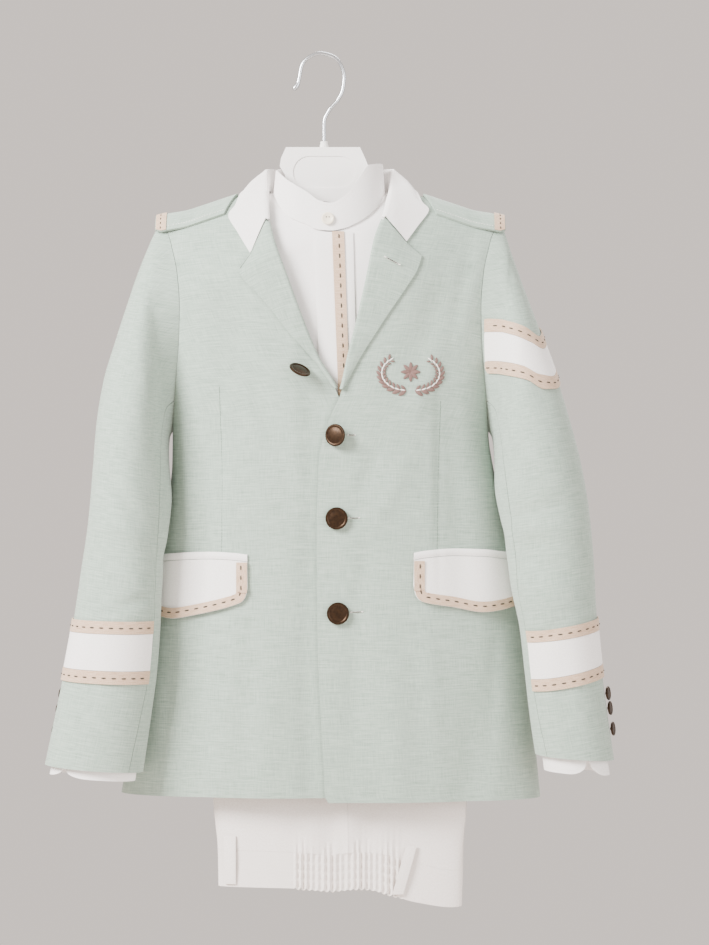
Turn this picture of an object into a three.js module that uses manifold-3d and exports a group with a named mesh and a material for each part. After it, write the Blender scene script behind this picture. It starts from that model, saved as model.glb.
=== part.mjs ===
// First communion suit for a child on a hanger: linen jacket, white shirt and white trousers.
// Millimetres, +Z up, the viewer on the -Y side, origin at the inside top of the hook.
// The garments are worked out about the jacket's own centre line and set over to it at the end.
import * as THREE from "three";
import ManifoldModule from "manifold-3d";

// Sizes
const AXIS_X = 9.5;
const SEAM = 0.4;
const LINEN = 1.5;
const TRIM = 1.0;
const SHIRT_INSET = 6;
const RIGHT = 1;
const LEFT = -1;
const FRONT = -1;
const BACK = 1;

// Shoulder line of the jacket
const NECK_HALF = 57;
const RIDGE_Z = -120.5;
const RIDGE_SLOPE = 0.335;

// Armhole, as a loop from the shoulder tip down to the underarm
const ARM_TOP_Z = -154;
const ARM_BOTTOM_Z = -345;

// Body of the jacket by height: half width each way, side seam, front and back depth
const BODY = [
  { z: -154, left: 172, right: 172, seam: 0, front: 48, back: 42 },
  { z: -240, left: 158, right: 158, seam: 2, front: 50, back: 44 },
  { z: -300, left: 149, right: 149, seam: 3.5, front: 50, back: 45 },
  { z: -345, left: 145, right: 145, seam: 5, front: 50, back: 45 },
  { z: -375, left: 145.5, right: 149, seam: 7, front: 50, back: 45 },
  { z: -410, left: 150, right: 158, seam: 9, front: 50, back: 45 },
  { z: -450, left: 157, right: 166, seam: 10, front: 49, back: 45 },
  { z: -550, left: 172, right: 180, seam: 10, front: 48, back: 45 },
  { z: -680, left: 193, right: 193, seam: 10, front: 45, back: 44 },
];
const BODY_ROUND = 2.2;

// Armhole seam by height within the loop: distance from the centre line, in front and behind
const ARMHOLE = [
  { rise: 1, front: 157, back: 157 },
  { rise: 0.91, front: 149, back: 152 },
  { rise: 0.73, front: 143.5, back: 148.5 },
  { rise: 0.5, front: 138.8, back: 145.5 },
  { rise: 0.2, front: 136.5, back: 143.8 },
  { rise: -0.1, front: 137.2, back: 143.2 },
  { rise: -0.5, front: 140.5, back: 143.6 },
  { rise: -0.8, front: 143.3, back: 144.4 },
  { rise: -1, front: 145, back: 145 },
];

// Sleeve rings from the armhole to the cuff: outer point, inner point, middle and depth
const SLEEVE_VIEWER_LEFT = [
  { ring: 0, outX: 157, outZ: -154, inX: 145, inZ: -345, midY: 0, deep: 27 },
  { ring: 1, outX: 166, outZ: -174, inX: 147.5, inZ: -351, midY: 0, deep: 36 },
  { ring: 2, outX: 176, outZ: -200, inX: 148.5, inZ: -359, midY: -4, deep: 42 },
  { ring: 3, outX: 186, outZ: -231, inX: 149, inZ: -369, midY: -9, deep: 46 },
  { ring: 4, outX: 196, outZ: -264, inX: 149.3, inZ: -381, midY: -15, deep: 47 },
  { ring: 5, outX: 206, outZ: -300, inX: 149.6, inZ: -396, midY: -21, deep: 46 },
  { ring: 6, outX: 212, outZ: -341, inX: 150, inZ: -416, midY: -27, deep: 44 },
  { ring: 7, outX: 215, outZ: -385, inX: 150.5, inZ: -441, midY: -32, deep: 41 },
  { ring: 8, outX: 218.5, outZ: -428, inX: 151.5, inZ: -466, midY: -36, deep: 38 },
  { ring: 9, outX: 224.5, outZ: -470, inX: 152.3, inZ: -491, midY: -38, deep: 36 },
  { ring: 10, outX: 231, outZ: -513, inX: 153, inZ: -516, midY: -38, deep: 35 },
  { ring: 11, outX: 239, outZ: -557, inX: 156, inZ: -560, midY: -38, deep: 34 },
  { ring: 12, outX: 248, outZ: -602, inX: 162, inZ: -606, midY: -39, deep: 33 },
  { ring: 13, outX: 257, outZ: -645, inX: 168.5, inZ: -652, midY: -40, deep: 32 },
];
const SLEEVE_VIEWER_RIGHT = [
  { ring: 0, outX: 157, outZ: -154, inX: 145, inZ: -345, midY: 0, deep: 27 },
  { ring: 1, outX: 164, outZ: -176, inX: 148.5, inZ: -351, midY: 0, deep: 36 },
  { ring: 2, outX: 173, outZ: -203, inX: 150, inZ: -359, midY: -4, deep: 42 },
  { ring: 3, outX: 183, outZ: -231, inX: 151.5, inZ: -368, midY: -9, deep: 46 },
  { ring: 4, outX: 194, outZ: -262, inX: 153, inZ: -378, midY: -15, deep: 47 },
  { ring: 5, outX: 206, outZ: -297, inX: 155, inZ: -391, midY: -21, deep: 46 },
  { ring: 6, outX: 217, outZ: -335, inX: 157, inZ: -408, midY: -27, deep: 44 },
  { ring: 7, outX: 227, outZ: -375, inX: 158.5, inZ: -430, midY: -32, deep: 41 },
  { ring: 8, outX: 234, outZ: -418, inX: 160.5, inZ: -456, midY: -36, deep: 38 },
  { ring: 9, outX: 238, outZ: -464, inX: 164, inZ: -487, midY: -38, deep: 36 },
  { ring: 10, outX: 240.5, outZ: -512, inX: 171, inZ: -522, midY: -38, deep: 35 },
  { ring: 11, outX: 244.5, outZ: -556, inX: 176, inZ: -566, midY: -38, deep: 34 },
  { ring: 12, outX: 250, outZ: -600, inX: 180.5, inZ: -605, midY: -39, deep: 33 },
  { ring: 13, outX: 256, outZ: -641, inX: 185, inZ: -636, midY: -40, deep: 32 },
];
const LAST_RING = 13;
const SHIRT_LAST_RING = 12.1;

// Lengthwise sleeve seams, as angles round the ring: 0 outside, 90 in front, 180 inside
const SLEEVE_SEAMS = [
  { ring: 0, front: 135, back: -45 },
  { ring: 6, front: 146, back: -30 },
  { ring: 10, front: 152, back: -16 },
  { ring: 13, front: 138, back: -12 },
];

// Soft troughs and ridges in the cloth: place, reach across and along, lean in degrees, height
const FOLDS = {
  frontLeft: [
    { x: -82, z: -262, across: 16, along: 60, lean: -18, high: -2.2 },
    { x: -112, z: -420, across: 18, along: 120, lean: 4, high: -2.4 },
    { x: -56, z: -610, across: 16, along: 90, lean: 2, high: 2.2 },
    { x: -120, z: -640, across: 18, along: 80, lean: -6, high: -2.6 },
  ],
  frontRight: [
    { x: 98, z: -228, across: 16, along: 60, lean: 20, high: -2.4 },
    { x: 112, z: -400, across: 17, along: 110, lean: -5, high: -2.4 },
    { x: 60, z: -620, across: 18, along: 90, lean: -3, high: 2.4 },
    { x: 128, z: -650, across: 18, along: 80, lean: 6, high: -2.6 },
  ],
  back: [
    { x: -70, z: -560, across: 24, along: 140, lean: 3, high: 3 },
    { x: 66, z: -590, across: 22, along: 120, lean: -4, high: 2.6 },
    { x: -8, z: -400, across: 26, along: 160, lean: 1, high: -3 },
    { x: 96, z: -260, across: 20, along: 80, lean: 14, high: -2.4 },
  ],
};

// Inner edge of the jacket fronts: hem, front edge, then the roll line up to the neck
const EDGE_VIEWER_LEFT = [
  { z: -676, x: 12 },
  { z: -330, x: 12 },
  { z: -307, x: 4.6 },
  { z: -280, x: -11.5 },
  { z: -258, x: -21 },
  { z: -207, x: -40 },
  { z: -164.6, x: -54.5 },
  { z: -150, x: -57 },
  { z: -120.5, x: -58.5 },
];
const EDGE_VIEWER_RIGHT = [
  { z: -680, x: -1.5 },
  { z: -674, x: -4.6 },
  { z: -658, x: -5.4 },
  { z: -531, x: -11.2 },
  { z: -433, x: -12 },
  { z: -402, x: -11.2 },
  { z: -369, x: -9.8 },
  { z: -353, x: -6.5 },
  { z: -334, x: -0.3 },
  { z: -309, x: 10.5 },
  { z: -276.6, x: 18 },
  { z: -245, x: 26 },
  { z: -209.7, x: 34 },
  { z: -171.3, x: 42 },
  { z: -149.9, x: 49.5 },
  { z: -120.5, x: 56 },
];

// Lapels from the break point to the gorge: height on the roll line and the outer edge
const LAPEL_VIEWER_LEFT = [
  { rollZ: -307, outX: 0.4, outZ: -302.8 },
  { rollZ: -292, outX: -10, outZ: -287.5 },
  { rollZ: -271, outX: -24.5, outZ: -271 },
  { rollZ: -249, outX: -37.5, outZ: -256 },
  { rollZ: -226, outX: -52, outZ: -237 },
  { rollZ: -201, outX: -66.6, outZ: -220 },
  { rollZ: -179, outX: -79, outZ: -207 },
  { rollZ: -168, outX: -83, outZ: -200.3 },
  { rollZ: -156, outX: -71.6, outZ: -187.4 },
];
const LAPEL_VIEWER_RIGHT = [
  { rollZ: -308, outX: 14.6, outZ: -303.8 },
  { rollZ: -285, outX: 26.4, outZ: -280.5 },
  { rollZ: -262, outX: 39.9, outZ: -258.8 },
  { rollZ: -238, outX: 52.7, outZ: -239 },
  { rollZ: -212, outX: 67, outZ: -218 },
  { rollZ: -190, outX: 79, outZ: -198.3 },
  { rollZ: -174, outX: 82.2, outZ: -188 },
  { rollZ: -154.4, outX: 68.6, outZ: -176.2 },
];

// White collar from the gorge at the viewer's left round the neck to the one at the right.
// Rows at the ends turn over the front like a lapel; the others stand up round the neck.
const COLLAR = [
  { kind: "front", foldZ: -153.4, outX: -71.4, outZ: -185.6 },
  { kind: "front", foldZ: -146, outX: -83, outZ: -166.5 },
  { kind: "front", foldZ: -137, outX: -92.2, outZ: -150 },
  { kind: "upper", stand: [-56.4, -4, -125], fold: [-58, -8, -117], outX: -87, outZ: -139 },
  { kind: "shoulder", stand: [-55.4, 0, -119], fold: [-58.2, 0, -105.5], outX: -80, outZ: -126 },
  { kind: "back", stand: [-45, 16, -123], fold: [-47, 19, -102.5], outX: -64, outZ: -138 },
  { kind: "back", stand: [-25, 23, -125], fold: [-26, 26, -101], outX: -34, outZ: -146 },
  { kind: "back", stand: [0, 25, -126], fold: [0, 28, -100.5], outX: 0, outZ: -149 },
  { kind: "back", stand: [25, 23, -125], fold: [26, 26, -101], outX: 34, outZ: -146 },
  { kind: "back", stand: [44, 16, -123], fold: [46, 19, -102.5], outX: 62, outZ: -138 },
  { kind: "shoulder", stand: [53.6, 0, -119], fold: [56.6, 0, -105], outX: 77, outZ: -125 },
  { kind: "upper", stand: [53.6, -4, -125], fold: [55, -8, -116], outX: 84, outZ: -136 },
  { kind: "front", foldZ: -135, outX: 89.2, outZ: -144.7 },
  { kind: "front", foldZ: -144, outX: 79, outZ: -160 },
  { kind: "front", foldZ: -152, outX: 68.6, outZ: -174.4 },
];

// Shirt collar round the neck: angle from the front, top and base heights
const SHIRT_COLLAR = [
  { turn: -180, top: -101, base: -132 },
  { turn: -120, top: -103.5, base: -128.6 },
  { turn: -100, top: -105.5, base: -127 },
  { turn: -80, top: -107, base: -130 },
  { turn: -47, top: -118.5, base: -147 },
  { turn: -25, top: -128.5, base: -156.5 },
  { turn: -10, top: -136.8, base: -163 },
  { turn: 2, top: -138.7, base: -164 },
  { turn: 16, top: -132.5, base: -161 },
  { turn: 29, top: -120.5, base: -155 },
  { turn: 49, top: -103, base: -144 },
  { turn: 80, top: -101, base: -130 },
  { turn: 100, top: -101, base: -127 },
  { turn: 120, top: -101, base: -128.6 },
  { turn: 180, top: -101, base: -132 },
];

// Pocket flaps by distance from the centre line: top edge and bottom edge
const FLAP_VIEWER_LEFT = [
  { x: 74.3, top: -463, bottom: -486 },
  { x: 76, top: -463, bottom: -494.5 },
  { x: 79, top: -462.6, bottom: -498.8 },
  { x: 84, top: -462, bottom: -501.4 },
  { x: 104, top: -461, bottom: -507.5 },
  { x: 124, top: -461.5, bottom: -512 },
  { x: 142, top: -463, bottom: -515 },
  { x: 156, top: -464.5, bottom: -512.5 },
];
const FLAP_VIEWER_RIGHT = [
  { x: 75.2, top: -461.6, bottom: -484 },
  { x: 77, top: -461.2, bottom: -493 },
  { x: 80, top: -460.6, bottom: -497.2 },
  { x: 85, top: -459.8, bottom: -499.6 },
  { x: 110, top: -458, bottom: -504 },
  { x: 138, top: -459, bottom: -509 },
  { x: 152, top: -461, bottom: -507.5 },
  { x: 165, top: -463, bottom: -504.5 },
];
const POCKET_RIBBON = 9.5;
const WELT_HEIGHT = 6.4;

// Bands round the lower sleeve: heights of each strip at the outer edge and at the front seam
const CUFF_BANDS = {
  left: [
    { strip: "upper_ribbon", topOut: -514, topIn: -515.5, lowOut: -525.3, lowIn: -526.8 },
    { strip: "white", topOut: -525.8, topIn: -527.3, lowOut: -557.2, lowIn: -559.7 },
    { strip: "lower_ribbon", topOut: -557.7, topIn: -560.2, lowOut: -569, lowIn: -571.8 },
  ],
  right: [
    { strip: "upper_ribbon", topOut: -512.6, topIn: -524, lowOut: -523.4, lowIn: -534.4 },
    { strip: "white", topOut: -523.9, topIn: -534.9, lowOut: -553.8, lowIn: -567 },
    { strip: "lower_ribbon", topOut: -554.3, topIn: -567.5, lowOut: -565.5, lowIn: -578.2 },
  ],
};

// Colours of the materials
const COLOURS = {
  linen: { hex: "#c9cec8", rough: 0.92, metal: 0 },
  white_cotton: { hex: "#f1eeec", rough: 0.88, metal: 0 },
  shirt: { hex: "#f3f1f0", rough: 0.85, metal: 0 },
  ribbon: { hex: "#e0cdbd", rough: 0.8, metal: 0 },
  trouser: { hex: "#ebe4e0", rough: 0.9, metal: 0 },
  bronze_button: { hex: "#43342a", rough: 0.42, metal: 0.5 },
  shirt_button: { hex: "#f6ecda", rough: 0.4, metal: 0 },
  hanger_plastic: { hex: "#eeeae8", rough: 0.45, metal: 0 },
  hook_wire: { hex: "#b9bcc0", rough: 0.25, metal: 1 },
};

// Small helpers
const degrees = (value) => (value * Math.PI) / 180;
const mix = (a, b, t) => a + (b - a) * t;
const clamp01 = (t) => Math.min(Math.max(t, 0), 1);
const ease = (from, to, value) => {
  const t = clamp01((value - from) / (to - from));
  return t * t * (3 - 2 * t);
};

/** Slope of a table column at a row, kept level where the column turns. */
function slopeAt(rows, key, name, i) {
  const secant = (k) => (rows[k + 1][name] - rows[k][name]) / (rows[k + 1][key] - rows[k][key]);
  if (i === 0) return secant(0);
  if (i === rows.length - 1) return secant(i - 1);
  const before = secant(i - 1);
  const after = secant(i);
  return before * after <= 0 ? 0 : (2 * before * after) / (before + after);
}

/** Reader of a table: a smooth curve through every column, level beyond both ends. */
function reader(table, key) {
  const rows = [...table].sort((a, b) => a[key] - b[key]);
  const names = Object.keys(rows[0]).filter((name) => name !== key && typeof rows[0][name] === "number");
  const last = rows.length - 1;
  return (value) => {
    const at = Math.min(Math.max(value, rows[0][key]), rows[last][key]);
    let i = 0;
    while (i < last - 1 && rows[i + 1][key] <= at) i += 1;
    const wide = rows[i + 1][key] - rows[i][key];
    const t = (at - rows[i][key]) / wide;
    const out = {};
    for (const name of names) {
      const p0 = rows[i][name];
      const p1 = rows[i + 1][name];
      const m0 = slopeAt(rows, key, name, i) * wide;
      const m1 = slopeAt(rows, key, name, i + 1) * wide;
      const cubic = 2 * t * t * t - 3 * t * t;
      const turning = m0 * (t * t * t - 2 * t * t + t) + m1 * (t * t * t - t * t);
      out[name] = p0 * (cubic + 1) - p1 * cubic + turning;
    }
    return out;
  };
}

const bodyAt = reader(BODY, "z");
const armholeAt = reader(ARMHOLE, "rise");
const seamsAt = reader(SLEEVE_SEAMS, "ring");
const ridge = (x) => RIDGE_Z - RIDGE_SLOPE * Math.max(0, Math.abs(x) - NECK_HALF);

const halfAt = (sign, z) => (sign < 0 ? bodyAt(z).left : bodyAt(z).right);

/** Depth of the body at a place in the front view, inset for what is worn inside. */
function depth(x, z, side, inset = 0) {
  const row = bodyAt(z);
  const half = (x < 0 ? row.left : row.right) - inset;
  const reach = (side === FRONT ? row.front : row.back) - inset;
  const across = clamp01(Math.abs(x) / half);
  const round = (1 - across ** BODY_ROUND) ** (1 / BODY_ROUND);
  const fall = side === FRONT ? mix(50, 80, ease(20, 80, Math.abs(x))) : 50;
  const power = side === FRONT ? 1.5 : 1.7;
  const drop = clamp01((ridge(x) - inset * 0.9 - z) / fall);
  const cap = (1 - (1 - drop) ** power) ** (1 / power);
  return row.seam + (side * reach - row.seam) * round * cap;
}

/** Outward direction of the body there. onSeam keeps it in the plane of the seam. */
function bodyNormal(x, z, side, inset = 0, onSeam = false) {
  const step = 0.6;
  const inward = x > 0 ? -step : step;
  const here = depth(x, z, side, inset);
  const slopeX = (depth(x + inward, z, side, inset) - here) / inward;
  const slopeZ = (here - depth(x, z - step, side, inset)) / step;
  const normal = new THREE.Vector3(-slopeX * side, side, -slopeZ * side);
  if (onSeam) normal.y = 0;
  return normal.normalize();
}

/** Height of the soft folds at a place: each is a smooth hump along its own leaning line. */
function foldHeight(folds, x, z) {
  let sum = 0;
  for (const fold of folds) {
    const lean = degrees(fold.lean);
    const dx = x - fold.x;
    const dz = z - fold.z;
    const across = (dx * Math.cos(lean) - dz * Math.sin(lean)) / fold.across;
    const along = (dx * Math.sin(lean) + dz * Math.cos(lean)) / fold.along;
    sum += fold.high * Math.exp(-across * across - along * along);
  }
  return sum;
}

/** The folds die out towards the side seam, where the cloth is held. */
const foldFade = (x, z) => 1 - ease(0.72, 0.98, Math.abs(x) / halfAt(x, z));

const group = new THREE.Group();
group.name = "first_communion_suit";

function material(slot) {
  const colour = COLOURS[slot];
  return new THREE.MeshStandardMaterial({
    name: slot,
    color: new THREE.Color(colour.hex),
    roughness: colour.rough,
    metalness: colour.metal,
    side: THREE.DoubleSide,
  });
}

/** Signed volume of an indexed triangle list, positive when the faces look outwards. */
function signedVolume(positions, index) {
  const a = new THREE.Vector3();
  const b = new THREE.Vector3();
  const c = new THREE.Vector3();
  let sum = 0;
  for (let i = 0; i < index.length; i += 3) {
    a.fromArray(positions, index[i] * 3);
    b.fromArray(positions, index[i + 1] * 3);
    c.fromArray(positions, index[i + 2] * 3);
    sum += a.dot(b.cross(c)) / 6;
  }
  return sum;
}

function addMesh(name, slot, positions, index, offsetX = AXIS_X) {
  const order = signedVolume(positions, index) < 0 ? flipped(index) : index;
  const geometry = new THREE.BufferGeometry();
  geometry.setAttribute("position", new THREE.Float32BufferAttribute(positions, 3));
  geometry.setIndex(order);
  geometry.translate(offsetX, 0, 0);
  geometry.computeVertexNormals();
  const mesh = new THREE.Mesh(geometry, material(slot));
  mesh.name = name;
  group.add(mesh);
  return mesh;
}

function flipped(index) {
  const out = [];
  for (let i = 0; i < index.length; i += 3) out.push(index[i], index[i + 2], index[i + 1]);
  return out;
}

/** Grid of points and outward directions on a surface. */
function makeGrid(columns, rows, pointAt, facing, options = {}) {
  const points = [];
  for (let r = 0; r <= rows; r += 1) {
    const line = [];
    for (let c = 0; c <= columns; c += 1) line.push(pointAt(c, r));
    points.push(line);
  }
  const closed = options.closed === true;
  const normals = points.map((line, r) =>
    line.map((point, c) => {
      const given = options.normalAt ? options.normalAt(c, r, point) : null;
      if (given) return given;
      const before = closed && c === 0 ? columns - 1 : Math.max(c - 1, 0);
      const after = closed && c === columns ? 1 : Math.min(c + 1, columns);
      const across = points[r][after].clone().sub(points[r][before]);
      const up = points[Math.min(r + 1, rows)][c].clone().sub(points[Math.max(r - 1, 0)][c]);
      const normal = across.cross(up).normalize();
      return normal.dot(facing(point, c, r)) < 0 ? normal.negate() : normal;
    })
  );
  return { columns, rows, points, normals, closed };
}

/** Cloth wall: the grid is its outer face and the wall goes inwards by the thickness. */
function addCloth(name, slot, grid, thickness) {
  const columns = grid.closed ? grid.columns : grid.columns + 1;
  const rows = grid.rows + 1;
  const positions = [];
  for (const depthIn of [0, thickness]) {
    for (let r = 0; r < rows; r += 1) {
      for (let c = 0; c < columns; c += 1) {
        const point = grid.points[r][c].clone().addScaledVector(grid.normals[r][c], -depthIn);
        positions.push(point.x, point.y, point.z);
      }
    }
  }
  const inner = rows * columns;
  const at = (r, c) => r * columns + (c % columns);
  const index = [];
  const quad = (a, b, c, d) => index.push(a, b, c, a, c, d);
  for (let r = 0; r < grid.rows; r += 1) {
    for (let c = 0; c < grid.columns; c += 1) {
      quad(at(r, c), at(r, c + 1), at(r + 1, c + 1), at(r + 1, c));
      quad(inner + at(r, c), inner + at(r + 1, c), inner + at(r + 1, c + 1), inner + at(r, c + 1));
    }
  }
  for (let c = 0; c < grid.columns; c += 1) {
    quad(at(0, c + 1), at(0, c), inner + at(0, c), inner + at(0, c + 1));
    quad(at(grid.rows, c), at(grid.rows, c + 1), inner + at(grid.rows, c + 1), inner + at(grid.rows, c));
  }
  if (!grid.closed) {
    for (let r = 0; r < grid.rows; r += 1) {
      quad(at(r, 0), at(r + 1, 0), inner + at(r + 1, 0), inner + at(r, 0));
      const end = at(r, grid.columns);
      const next = at(r + 1, grid.columns);
      quad(next, end, inner + end, inner + next);
    }
  }
  addMesh(name, slot, positions, index);
  return grid;
}

/** Point and direction on a built grid at a part column and a part row. */
function onGrid(grid, column, row) {
  const c = Math.min(Math.floor(column), grid.columns - 1);
  const r = Math.min(Math.floor(row), grid.rows - 1);
  const s = column - c;
  const t = row - r;
  const blend = (list) => {
    const low = list[r][c].clone().lerp(list[r][c + 1], s);
    const high = list[r + 1][c].clone().lerp(list[r + 1][c + 1], s);
    return low.lerp(high, t);
  };
  return { point: blend(grid.points), normal: blend(grid.normals).normalize() };
}

/** Value between two limits where a rising measure reaches a target. */
function search(low, high, target, measure) {
  let from = low;
  let to = high;
  for (let i = 0; i < 24; i += 1) {
    const middle = (from + to) / 2;
    if (measure(middle) < target) from = middle;
    else to = middle;
  }
  return (from + to) / 2;
}

/** Point and direction on a built front at a place in the front view. */
function onPanel(panel, x, z) {
  const sign = Math.sign(panel.points[0][panel.columns].x);
  let column = panel.columns / 2;
  let row = panel.rows / 2;
  for (let i = 0; i < 8; i += 1) {
    row = search(0, panel.rows, z, (at) => onGrid(panel, column, at).point.z);
    column = search(0, panel.columns, sign * x, (at) => sign * onGrid(panel, at, row).point.x);
  }
  return onGrid(panel, column, row);
}

/** A strip laid on a built grid: its points are the grid's own, moved out. */
function addLaid(name, slot, grid, columns, rows, placeAt, lift = SEAM, thickness = TRIM) {
  const places = [];
  for (let r = 0; r <= rows; r += 1) {
    const line = [];
    for (let c = 0; c <= columns; c += 1) {
      const place = placeAt(c, r);
      line.push(onGrid(grid, place.column, place.row));
    }
    places.push(line);
  }
  const laid = makeGrid(
    columns,
    rows,
    (c, r) => places[r][c].point.clone().addScaledVector(places[r][c].normal, lift + thickness),
    () => new THREE.Vector3(),
    { normalAt: (c, r) => places[r][c].normal }
  );
  return addCloth(name, slot, laid, thickness);
}

// Jacket fronts and back

const ARM_STEPS = 8;
const HEM_ROWS = 7;

/** Height of the underarm: what is worn inside has its own higher up. */
const underarm = (inset) => ARM_BOTTOM_Z + 2 * inset;

function armholePoint(sign, angle, inset = 0) {
  const front = Math.sin(angle) > 0;
  const side = Math.sin(angle) >= 0 ? FRONT : BACK;
  const rise = Math.cos(angle);
  const row = armholeAt(rise);
  const x = sign * ((front ? row.front : row.back) - inset * mix(1, 0.25, (rise + 1) / 2));
  const top = ARM_TOP_Z - inset * 0.9 + RIDGE_SLOPE * inset * 0.25;
  const z = mix(underarm(inset), top, (rise + 1) / 2);
  const onSeam = Math.abs(Math.sin(angle)) < 1e-6;
  const y = onSeam ? bodyAt(z).seam : depth(x, z, side, inset);
  return { point: new THREE.Vector3(x, y, z), side, onSeam };
}

/** Grid of one half of a body piece, from its inner edge to the side seam and armhole. */
function bodyGrid(piece) {
  const { sign, side, hemZ, innerAt, across } = piece;
  const { inset = 0, hemRows = HEM_ROWS, folds = [], push = () => 0 } = piece;
  const rows = hemRows + ARM_STEPS;
  const lines = [];
  for (let r = 0; r <= rows; r += 1) {
    if (r < hemRows) {
      const z = mix(hemZ, underarm(inset), r / hemRows);
      lines.push({ x: sign * (halfAt(sign, z) - inset), z, seam: true });
    } else {
      const turn = Math.PI * (1 - (r - hemRows) / ARM_STEPS);
      const hole = armholePoint(sign, side === FRONT ? turn : -turn, inset);
      lines.push({ x: hole.point.x, z: hole.point.z, seam: r === hemRows });
    }
  }
  const topZ = lines[rows].z;
  const pointAt = (c, r) => {
    const outer = lines[r];
    const rise = clamp01((outer.z - underarm(inset)) / (topZ - underarm(inset)));
    const inner = innerAt(rise, outer.z);
    const half = Math.max(halfAt(sign, outer.z) - inset, Math.abs(outer.x));
    const from = Math.asin(Math.min(Math.max((sign * inner.x) / half, -1), 1));
    const to = Math.asin(Math.min(Math.abs(outer.x) / half, 1));
    const x = sign * half * Math.sin(mix(from, to, c / across));
    const z = mix(inner.z, outer.z, clamp01((x - inner.x) / (outer.x - inner.x)));
    const atSeam = c === across && outer.seam;
    const atRidge = r === rows;
    const y = atSeam || atRidge ? bodyAt(z).seam : depth(x, z, side, inset);
    const bump = side * foldHeight(folds, x, z) * foldFade(x, z) * (atRidge ? 0 : 1);
    return new THREE.Vector3(x, y + bump + push(x, z) + (side * SEAM) / 2, z);
  };
  const normalAt = (c, r, point) => {
    const onSeam = (c === across && lines[r].seam) || r === rows;
    return bodyNormal(point.x, point.z, side, inset, onSeam);
  };
  return makeGrid(across, rows, pointAt, () => new THREE.Vector3(0, side, 0), { normalAt });
}

const leftEdgeAt = reader(EDGE_VIEWER_LEFT, "z");
const rightEdgeAt = reader(EDGE_VIEWER_RIGHT, "z");

const frontInner = (edgeAt) => (rise, z) => {
  const height = rise > 0 ? mix(ARM_BOTTOM_Z, RIDGE_Z, rise) : z;
  return { x: edgeAt(height).x, z: height };
};

/** The front that lies underneath stands back where the other one laps over it. */
const underlap = (x) => 3 * ease(-34, -14, x);

const frontLeft = addCloth("jacket_front_viewer_left", "linen", bodyGrid({
  sign: LEFT,
  side: FRONT,
  hemZ: -676,
  innerAt: frontInner(leftEdgeAt),
  across: 10,
  folds: FOLDS.frontLeft,
  push: underlap,
}), LINEN);

const frontRight = addCloth("jacket_front_viewer_right", "linen", bodyGrid({
  sign: RIGHT,
  side: FRONT,
  hemZ: -680,
  innerAt: frontInner(rightEdgeAt),
  across: 10,
  folds: FOLDS.frontRight,
}), LINEN);

/** Back: both halves as one grid, with the neck cut down in the middle. */
function backGrid({ inset = 0, hemZ, neckDrop, across, hemRows = HEM_ROWS, folds = [] }) {
  const innerAt = (rise, z) => {
    const top = RIDGE_Z - inset * 0.9 - neckDrop;
    return { x: 0, z: rise > 0 ? mix(underarm(inset), top, rise) : z };
  };
  const halves = [LEFT, RIGHT].map((sign) =>
    bodyGrid({ sign, side: BACK, inset, hemZ, innerAt, across, hemRows, folds })
  );
  const neck = (grid) => {
    const row = grid.rows;
    for (let c = 0; c <= across; c += 1) {
      const point = grid.points[row][c];
      const x = Math.abs(point.x);
      const low = NECK_HALF - inset * 0.5;
      const dip = x < low ? neckDrop * Math.sqrt(Math.max(0, 1 - (x / low) ** 2)) : 0;
      point.z = ridge(x) - inset * 0.9 - dip;
      point.y = x < low ? depth(point.x, point.z, BACK, inset) + SEAM / 2 : point.y;
      if (x < low) grid.normals[row][c] = bodyNormal(point.x, point.z, BACK, inset);
    }
  };
  halves.forEach(neck);
  const points = [];
  const normals = [];
  for (let r = 0; r <= halves[0].rows; r += 1) {
    points.push([...[...halves[0].points[r]].reverse(), ...halves[1].points[r].slice(1)]);
    normals.push([...[...halves[0].normals[r]].reverse(), ...halves[1].normals[r].slice(1)]);
  }
  return { columns: across * 2, rows: halves[0].rows, points, normals, closed: false };
}

const jacketBack = backGrid({ hemZ: -672, neckDrop: 11, across: 8, folds: FOLDS.back });
addCloth("jacket_back", "linen", jacketBack, LINEN);

// Sleeves

/** Point on the sleeve's smooth form. The part next to the armhole blends into its seam. */
function sleevePoint(ringAt, sign, ring, angle, inset = 0) {
  const formAt = (place) => {
    const row = ringAt(place);
    const wideX = (row.outX - row.inX) / 2;
    const wideZ = (row.outZ - row.inZ) / 2;
    const keep = 1 - inset / Math.hypot(wideX, wideZ);
    const reach = Math.cos(angle) * keep;
    return new THREE.Vector3(
      sign * ((row.outX + row.inX) / 2 + wideX * reach),
      row.midY - (row.deep - inset) * Math.sin(angle),
      (row.outZ + row.inZ) / 2 + wideZ * reach
    );
  };
  const point = formAt(ring);
  if (ring < 1) {
    const shift = armholePoint(sign, angle, inset).point.sub(formAt(0));
    point.addScaledVector(shift, (1 - ring) ** 2);
  }
  return point;
}

const SLEEVE_RINGS = [0, 1, 2, 3, 4, 5, 6, 7, 8, 9, 10, 11, 12, 13];

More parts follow.
